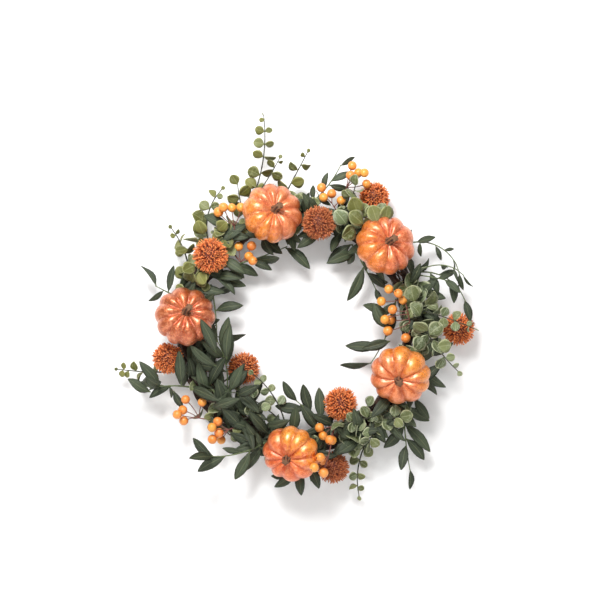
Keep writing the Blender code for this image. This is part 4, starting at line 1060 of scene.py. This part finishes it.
def add_leaves(shell, kind, leaves, dust, rng):
    """Curved leaves, one for each of (base, along, side, normal, size).

    A point at (u, v) lies u along the leaf and v across it, from -1 to 1. Its height over the chord is
    arch * sin(pi u) + fold * |v| * width - groove at the midrib, and the blade twists about its length.
    The front and back surfaces part by the blade's thickness and meet in its rim.
    """
    if not leaves:
        return
    base, along, side, normal = (np.array([leaf[i] for leaf in leaves]) for i in range(4))
    length = np.array([leaf[4] for leaf in leaves]) * MM
    share, widest = LEAF_SHAPES[kind][:2]
    half = np.minimum(length * share, widest) * SLIMNESS[kind] / 2
    flip = np.where(normal @ FORWARD < 0, -1.0, 1.0)[:, None]
    side, normal = side * flip, normal * flip
    count = len(leaves)

    def vary(low, high):
        """A random value for each leaf."""
        return rng.uniform(low, high, (count, 1, 1))

    olive = kind == "olive"
    roll = rng.normal(0, 0.22 if olive else 0.42, (count, 1))
    if not olive:
        roll += np.where(rng.uniform(0, 1, (count, 1)) < 0.28, rng.choice((-1.2, 1.2), (count, 1)), 0)
    side, normal = (side * np.cos(roll) + normal * np.sin(roll),
                    normal * np.cos(roll) - side * np.sin(roll))
    u, v, face = LEAF_STEPS[:, None], LEAF_RING[:, 0], -LEAF_RING[:, 1]
    width = half[:, None, None] * leaf_outline(kind)[:, None]
    stalk = (0.55 * MM) * (1 - smoothstep(0.05, 0.2, u))
    width = np.maximum(width, stalk)
    long = length[:, None, None]
    arch = (vary(0.02, 0.15) if olive else vary(-0.04, 0.12)) * long
    fold = vary(-0.05, 0.42) if olive else vary(0.05, 0.5)
    hook = vary(-0.10, 0.12) * long
    sweep = vary(-0.05, 0.05) * long
    ripple = vary(0.0, 0.05) * half[:, None, None]
    twist = vary(-0.5, 0.5)
    height = (arch * np.sin(np.pi * u) - hook * u ** 3 * (1 - u) * 4 + fold * np.abs(v) * width
              + ripple * np.sin(9 * u + vary(0, 6)) * v ** 2)
    height = height - 0.35 * MM * (np.abs(v) < 0.1) * smoothstep(0.02, 0.2, u) * (face > 0)
    thick = (0.30 if olive else 0.34) * MM + stalk * 0.6
    height = height + face * thick * (1 - 0.2 * np.abs(v))
    aside = width * v + sweep * np.sin(np.pi * u)
    turn = twist * (u - 0.35)
    side, normal = side[:, None, None], normal[:, None, None]
    cos, sin = np.cos(turn)[..., None], np.sin(turn)[..., None]
    across, lift = side * cos + normal * sin, normal * cos - side * sin
    spine = base[:, None, None] + along[:, None, None] * (long * u)[..., None]
    rings = spine + across * aside[..., None] + lift * height[..., None]
    tips = (base + along * length[:, None])[:, None]
    poles = np.concatenate((base[:, None] - along[:, None] * 0.3 * MM, tips), axis=1)
    shell.add_rings(rings, poles=poles, leaf_u=u, leaf_v=v, back=(1 - face) / 2,
                    tint=vary(0, 1), dust=np.clip(dust + vary(-0.25, 0.25), 0, 1))


def add_berries(shell, berries, rng):
    """Berries, each a slightly long ball round its stalk's end, and its wire stalk.

    along goes from nought at the stalk to one at the far side.
    """
    if not berries:
        return
    base, middle = (np.array([berry[i] for berry in berries]) for i in range(2))
    count = len(berries)
    axis = unit(middle - base)
    across = unit(np.cross(axis, np.array((0.2, 0.3, 0.93))))
    up = np.cross(axis, across)
    sides, rings = 16, 10
    polar = np.pi * (np.arange(rings) + 0.5) / rings
    turn = 2 * np.pi * np.arange(sides) / sides
    radius = BERRY_RADIUS * rng.uniform(0.94, 1.05, (count, 1, 1, 1))
    spokes = (across[:, None, None] * (np.sin(polar)[:, None] * np.cos(turn))[..., None]
              + up[:, None, None] * (np.sin(polar)[:, None] * np.sin(turn))[..., None])
    ball = middle[:, None, None] + radius * (spokes - axis[:, None, None] * np.cos(polar)[:, None, None])
    share = ((1 - np.cos(polar)) / 2)[:, None]
    end = axis * radius[:, 0, 0] * 0.97
    poles = np.stack((middle - end, middle + end), axis=1)
    shell.add_rings(ball, poles=poles, along=share, tint=rng.uniform(0, 1, (count, 1, 1)))
    steps = np.linspace(0, 1, 7)
    bow = np.cross(axis, FORWARD) * rng.uniform(-2.2, 2.2, (count, 1)) * MM
    lines = (base[:, None] + (middle - base)[:, None] * steps[:, None]
             + bow[:, None] * np.sin(np.pi * steps)[:, None])
    radii = STALK_RADIUS * np.array((0.95, 0.8, 0.7, 0.7, 0.75, 0.95, 1.0))
    shell.add_rings(tube_rings(lines, np.broadcast_to(radii, (count, 7)), 6), finish=1)


def add_stem(shell, path, radius, kind):
    """A smooth round stem along a path, thinner at its tip, with a small swelling at each joint."""
    steps = max(12, int(len(path) * 5))
    line = resample(path, steps)
    share = np.linspace(0, 1, steps)
    swelling = 0 if kind == "berry" else 0.22
    knots = 1 + swelling * np.maximum(0, np.cos(2 * np.pi * share * (len(path) - 1))) ** 8
    radii = radius * 0.92 * (1 + (TIP_SHARE - 1) * share) * knots
    shell.add_rings(tube_rings(line[None], radii[None], 7), finish=1)


def read_spray(name, kind, angle, offset, branches):
    """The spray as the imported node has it: its stems, and its leaves or berries.

    Each stem, leaf and berry of the plan was set at the first of its tries that was clear. The one
    used is found by how closely its corners lie to the node's points.
    """
    tree = near_tree(cad_points(name))
    stems, shoots_found, main = [], [], None
    for start, heading, bend, length, rise, shoots in branches:
        if main is None:
            begin, slim = stem_root(angle, offset), STEM_RADIUS
        else:
            begin, slim = on_path(main, start) - radial(heading) * STEM_RADIUS, STEM_RADIUS * SIDE_STEM
        tries = []
        for swing, lift in STEM_TRIES:
            path = stem_path(begin, heading + swing, bend, length, rise + lift)
            tries.append(((swing, path), stem_corners(path, slim)))
        (swing, path), _ = best_try(tree, tries)
        main = path if main is None else main
        stems.append((path, slim))
        for index, shoot in enumerate(shoots):
            share, turn, size = shoot[:3]
            roll = shoot[3] if len(shoot) > 3 else LEAF_ROLL
            flip = 1 if index % 2 else -1
            local = heading + swing + bend * share + turn
            tries = []
            if kind == "berry":
                base = on_path(path, share)
                for tilt in BERRY_TRIES:
                    lean = math.radians(tilt * flip)
                    middle = base + (radial(local) * math.cos(lean) + FORWARD * math.sin(lean)) * size * MM
                    tries.append(((base, middle), middle + BERRY_RADIUS * BALL_POINTS))
            else:
                for aside, times, tilt in LEAF_TRIES:
                    pose = (local + aside, tilt * flip, roll * times * flip)
                    base = on_path(path, share) + radial(local + aside) * STEM_RADIUS * 0.3
                    leaf = (base, *leaf_frame(*pose), size)
                    tries.append((leaf, leaf_corners(kind, base, pose, size)))
            found, off = best_try(tree, tries)
            if off < FOUND_WITHIN:
                shoots_found.append(found)
    return stems, shoots_found


def spray(name, finishes, rng):
    """One spray, in the place of its CAD node. Returns its leaves or berries."""
    kind, angle, offset, bends, branches = SPRAYS[name]
    stems, found = read_spray(name, kind, angle, offset, branches)
    shell = Shell()
    if kind == "berry":
        add_berries(shell, found, rng)
    else:
        add_leaves(shell, kind, found, DUSTINESS.get(name, 0), rng)
    for path, radius in stems:
        add_stem(shell, path, radius, kind)
    ending, slot = ("picks", "berry_lacquer") if kind == "berry" else ("foliage", f"{kind}_leaf")
    make_piece(f"{name}_{ending}", shell, finishes[kind],
               body=f"spray_{name}" if bends else RING_BODY, replaces=[name])
    return found


# ---------------------------------------------------------------- undergrowth


# Leaves that hide the vine between the sprays: (kind, first and last angle round the ring, count,
# turns from straight outward, least and greatest size, dustiness). They lie on the front of the canes.
UNDERGROWTH = (
    ("olive", 110, 150, 15, (-150, -135, -165, -120), 36, 54, 0),
    ("olive", 154, 190, 11, (-165, -120, -95, 60), 34, 50, 0),
    ("olive", 190, 262, 42, (-110, -85, -60, -130, 90, 150), 38, 58, 0),
    ("olive", 66, 94, 10, (0, 35, -35), 32, 46, 0),
    ("olive", 262, 300, 26, (-90, 90, 150, -30, 180), 34, 52, 0),
    ("olive", 280, 345, 20, (-90, 90, 30), 32, 52, 0),
    ("olive", -16, 24, 13, (-90, -60, -140, 20), 34, 52, 0),
    ("olive", 36, 104, 22, (-90, 90, 150, -140), 32, 52, 0),
    ("eucalyptus", 114, 162, 38, (60, -60, 110, 10, 170), 16, 24, 0.25),
    ("eucalyptus", 52, 100, 20, (60, -60, 20), 16, 25, 0.45),
    ("eucalyptus", -14, 26, 42, (0, 25, -35, 60, -80), 19, 28, 0.85),
    ("eucalyptus", 288, 334, 34, (60, -60, 120, 0), 17, 25, 0.8),
    ("eucalyptus", 205, 280, 18, (60, -60, 0), 15, 23, 0.6),
)


BERRY_CLEARANCE = 9 * MM
TRIALS_PER_LEAF = 12


def blocked(points, berries):
    """Whether any of a leaf's points lies in a pumpkin or a mum, or touches or covers a berry.

    points is (leaves, points, 3), and berries are the berries' middles.
    """
    hit = np.zeros(len(points), bool)
    for spec in PUMPKINS:
        middle, axes = pumpkin_axes(*spec)
        local = (points - middle) @ axes.T / spec[4] ** 2
        inside = (local[..., 0] ** 2 + local[..., 1] ** 2) / PUMPKIN_RADIUS ** 2 + (
            local[..., 2] / PUMPKIN_HALF_HEIGHT) ** 2
        hit |= (inside < 1.0).any(axis=1)
    for index in range(len(MUM_SIZES)):
        middle, radius = mum_middle(index)
        local = (points - middle) / (radius * np.array((1, MUM_FLATNESS, 1)))
        hit |= ((local ** 2).sum(axis=-1) < 1.0).any(axis=1)
    for berry in berries:
        apart = points - berry
        near = (apart[..., ::2] ** 2).sum(axis=-1) < BERRY_CLEARANCE ** 2
        hit |= (near & (apart @ FORWARD > -BERRY_CLEARANCE)).any(axis=1)
    return hit


def undergrowth(index, finishes, berries):
    """Leaves over one arc of the ring: rooted on the front of the canes, clear of pumpkins and mums."""
    kind, first, last, count, turns, least, greatest, dust = UNDERGROWTH[index]
    rng = np.random.default_rng(index)
    trial = count * TRIALS_PER_LEAF
    angle = rng.uniform(first, last, trial)
    round_bundle = np.radians(rng.uniform(-65, 65, trial))
    reach = BUNDLE_RADIUS + rng.uniform(-1, 7, trial) * MM
    out = radial(angle)
    base = (out * (RING_RADIUS + reach * np.sin(round_bundle))[:, None]
            + FORWARD * (reach * np.cos(round_bundle))[:, None])
    heading = angle + rng.choice(turns, trial) + rng.normal(0, 22, trial)
    size = rng.uniform(least, greatest, trial)
    leaves = []
    for i in range(trial):
        pose = leaf_frame(heading[i], rng.uniform(2, 34), rng.normal(0, 25))
        leaves.append((base[i], *pose, size[i]))
    reaches = np.array((0.15, 0.4, 0.7, 1.0))
    along, side = (np.array([leaf[k] for leaf in leaves]) for k in (1, 2))
    length = size * MM
    half = length * 0.2
    spine = base[:, None] + along[:, None] * (reaches * length[:, None])[..., None]
    edge = side[:, None] * half[:, None, None]
    free = ~blocked(np.concatenate((spine, spine + edge, spine - edge), axis=1), berries)
    chosen = [leaf for leaf, clear in zip(leaves, free) if clear][:count]
    shell = Shell()
    add_leaves(shell, kind, chosen, dust, rng)
    make_piece(f"undergrowth_{index + 1}", shell, finishes[kind])


# Leaves that lie in front of pumpkins and mums: (kind, across, up and forward from the ring's middle,
# heading, tilt forward, size, dustiness), in millimetres and degrees.
FRONT_LEAVES = (
    ("olive", -122, -32, 66, 113, 20, 58, 0),
    ("olive", -108, -42, 44, 83, 18, 56, 0),
    ("olive", -174, -80, 44, 93, 16, 54, 0),
    ("olive", -122, -52, 46, 140, 18, 52, 0),
    ("olive", -104, -88, 40, 62, 24, 48, 0),
    ("olive", -92, -96, 42, 28, 30, 44, 0),
    ("olive", -208, -82, 22, 129, 10, 48, 0),
    ("olive", -222, -92, 18, 149, 10, 40, 0),
    ("olive", -192, -84, 18, 207, 5, 36, 0),
    ("olive", -188, -90, 16, -62, 5, 30, 0),
    ("eucalyptus", 84, 188, 44, 135, 20, 27, 0.95),
    ("eucalyptus", 68, 156, 46, 130, 20, 28, 0.95),
    ("eucalyptus", 86, 170, 48, 110, 24, 29, 0.2),
    ("eucalyptus", 92, 156, 52, 140, 20, 28, 0.25),
    ("eucalyptus", 112, 158, 62, 110, 15, 27, 0.3),
    ("eucalyptus", 124, 160, 58, 80, 15, 24, 0.35),
    ("eucalyptus", 80, 152, 46, -140, 20, 26, 0.2),
    ("eucalyptus", 168, 42, 44, 100, 15, 26, 0.7),
    ("eucalyptus", 184, 38, 44, 60, 15, 25, 0.6),
    ("eucalyptus", 176, 22, 46, 130, 20, 25, 0.9),
    ("eucalyptus", 188, 0, 44, 150, 18, 26, 0.7),
    ("eucalyptus", 190, -6, 46, 40, 15, 25, 0.75),
    ("eucalyptus", 182, -10, 42, -130, 20, 24, 0.8),
    ("eucalyptus", 196, -14, 42, -60, 20, 24, 0.6),
    ("eucalyptus", -143, 142, 30, 110, 25, 24, 0.05),
    ("eucalyptus", -150, 130, 30, 170, 28, 25, 0.4),
    ("eucalyptus", -142, 162, 24, 150, 22, 22, 0.1),
    ("eucalyptus", -166, 120, 28, 190, 25, 20, 0),
    ("eucalyptus", -156, 96, 30, 210, 30, 22, 0),
    ("eucalyptus", -150, 86, 32, 300, 25, 22, 0),
    ("eucalyptus", -122, 148, 28, 40, 25, 21, 0.05),
    ("eucalyptus", -112, 138, 28, -60, 25, 20, 0),
    ("olive", -118, 146, 26, -12, 5, 44, 0),
    ("olive", -104, 156, 22, 160, 5, 42, 0),
    ("olive", -116, 108, 30, -35, 10, 44, 0),
    ("olive", 132, 2, 24, 120, 8, 46, 0),
    ("olive", 134, -16, 22, 195, 6, 44, 0),
    ("olive", 130, 24, 22, 160, 8, 40, 0),
    ("olive", 128, 62, 22, 140, 5, 36, 0),
    ("olive", -6, -209, 22, 216, 4, 40, 0),
    ("olive", 2, -205, 24, 270, 4, 40, 0),
    ("olive", 14, -198, 20, 291, 4, 40, 0),
)


def front_leaves(finishes):
    """The leaves of FRONT_LEAVES, one piece for each kind."""
    for kind in ("olive", "eucalyptus"):
        rows = [row for row in FRONT_LEAVES if row[0] == kind]
        shell = Shell()
        for number, (_, across, up, forward, heading, tilt, size, dust) in enumerate(rows):
            place = np.array((across, -forward, up)) * MM
            add_leaves(shell, kind, [(place, *leaf_frame(heading, tilt, 0), size)], dust,
                       np.random.default_rng(number))
        make_piece(f"front_leaves_{kind}", shell, finishes[kind])


# ---------------------------------------------------------------- stage


def plain(name, colour, roughness, one_sided=False, glow=0.0):
    """A plain studio finish. A one-sided one is clear from behind. A glow lifts its shadows."""
    finish = Finish(name, Roughness=roughness, Specular_IOR_Level=0.2, Emission_Strength=glow,
                    Emission_Color=(1, 1, 1, 1))
    finish.colour((*colour, 1))
    if one_sided:
        clear = finish.node("ShaderNodeBsdfTransparent").outputs[0]
        behind = finish.node("ShaderNodeNewGeometry").outputs["Backfacing"]
        mixed = finish.node("ShaderNodeMixShader", {0: behind, 1: finish.shader.outputs[0], 2: clear})
        put(finish.tree, finish.tree.nodes["Material Output"].inputs["Surface"], mixed.outputs[0])
    return finish.material


def sheet_of(name, corners, finish):
    """One flat face of the stage."""
    mesh = bpy.data.meshes.new(name)
    mesh.from_pydata(corners, [], [(0, 1, 2, 3)])
    mesh.materials.append(finish)
    made = bpy.data.objects.new(name, mesh)
    bpy.context.scene.collection.objects.link(made)


def area_light(name, place, target, size, power):
    """A square soft light aimed at a point."""
    light = bpy.data.lights.new(name, "AREA")
    light.size = size
    light.energy = power
    lamp = bpy.data.objects.new(name, light)
    lamp.location = place
    lamp.rotation_euler = (Vector(target) - Vector(place)).to_track_quat("-Z", "Y").to_euler()
    bpy.context.scene.collection.objects.link(lamp)


# Each lamp: (name, place, size, power), in metres and watts
LAMPS = (
    ("key", (-0.24, -1.15, 0.62), 0.46, 25),
    ("front_fill", (0.3, -2.6, 0.3), 1.8, 4),
    ("back_fill", (0.6, 2.2, 1.0), 1.6, 22),
)
WORLD_STRENGTH = 0.45
SEEN_WIDTH = 0.9
CAMERA_ABOVE = 0.045


def studio():
    """Backdrop, floor, lights and camera."""
    wall_y, floor_z, half, depth = 0.004, -0.75, 3.0, 4.0
    backdrop = plain("backdrop", (0.93, 0.93, 0.93), 0.9, one_sided=True, glow=0.04)
    sheet_of("backdrop", [(-half, wall_y, floor_z), (half, wall_y, floor_z), (half, wall_y, half),
                          (-half, wall_y, half)], backdrop)
    sheet_of("floor", [(-half, -depth, floor_z), (half, -depth, floor_z), (half, depth, floor_z),
                       (-half, depth, floor_z)], plain("floor", (0.86, 0.85, 0.84), 0.7))
    for name, place, size, power in LAMPS:
        area_light(name, place, RING_CENTRE, size, power)
    world = bpy.data.worlds.new("studio")
    bpy.context.scene.world = world
    world.use_nodes = True
    sky = world.node_tree.nodes["Background"].inputs
    sky["Color"].default_value = (1, 1, 1, 1)
    sky["Strength"].default_value = WORLD_STRENGTH
    bpy.context.scene.view_settings.view_transform = "Standard"
    camera = bpy.data.cameras.new("camera")
    camera.lens, camera.sensor_width = 85, 36
    view = bpy.data.objects.new("camera", camera)
    distance = SEEN_WIDTH * camera.lens / camera.sensor_width
    view.location = (0, RING_CENTRE[1] - distance, RING_CENTRE[2] + CAMERA_ABOVE)
    view.rotation_euler = (math.pi / 2, 0, 0)
    bpy.context.scene.collection.objects.link(view)
    bpy.context.scene.camera = view


def build():
    """Every piece of the wreath."""
    rng = np.random.default_rng(7)
    vine = twig("vine_bark", (0.018, 0.009, 0.006), (0.105, 0.055, 0.035), 160.0)
    wire = wire_finish()
    bark = stub_bark()
    green_stem = twig("olive_stem", (0.085, 0.115, 0.045), (0.21, 0.26, 0.12), 200.0)
    dark_stem = twig("eucalyptus_stem", (0.020, 0.020, 0.012), (0.075, 0.080, 0.040), 200.0)
    finishes = {
        "olive": [olive_leaf(), green_stem],
        "eucalyptus": [eucalyptus_leaf(), dark_stem],
        "berry": [berry_lacquer(), berry_stalk()],
    }
    petals = [petal_fabric(), wire]
    for index in range(CANE_COUNT):
        vine_cane(index, vine, rng)
    for name, angle in BAND_ANGLES.items():
        wound_band(name, angle, wire)
    for index in range(len(PUMPKINS)):
        pumpkin(index, bark)
    for index in range(len(MUM_SIZES)):
        mum(index, petals, np.random.default_rng(index))
    berries = []
    for name, plan in SPRAYS.items():
        found = spray(name, finishes, rng)
        if plan[0] == "berry":
            berries += [berry[1] for berry in found]
    for index in range(len(UNDERGROWTH)):
        undergrowth(index, finishes, berries)
    front_leaves(finishes)


studio()
build()
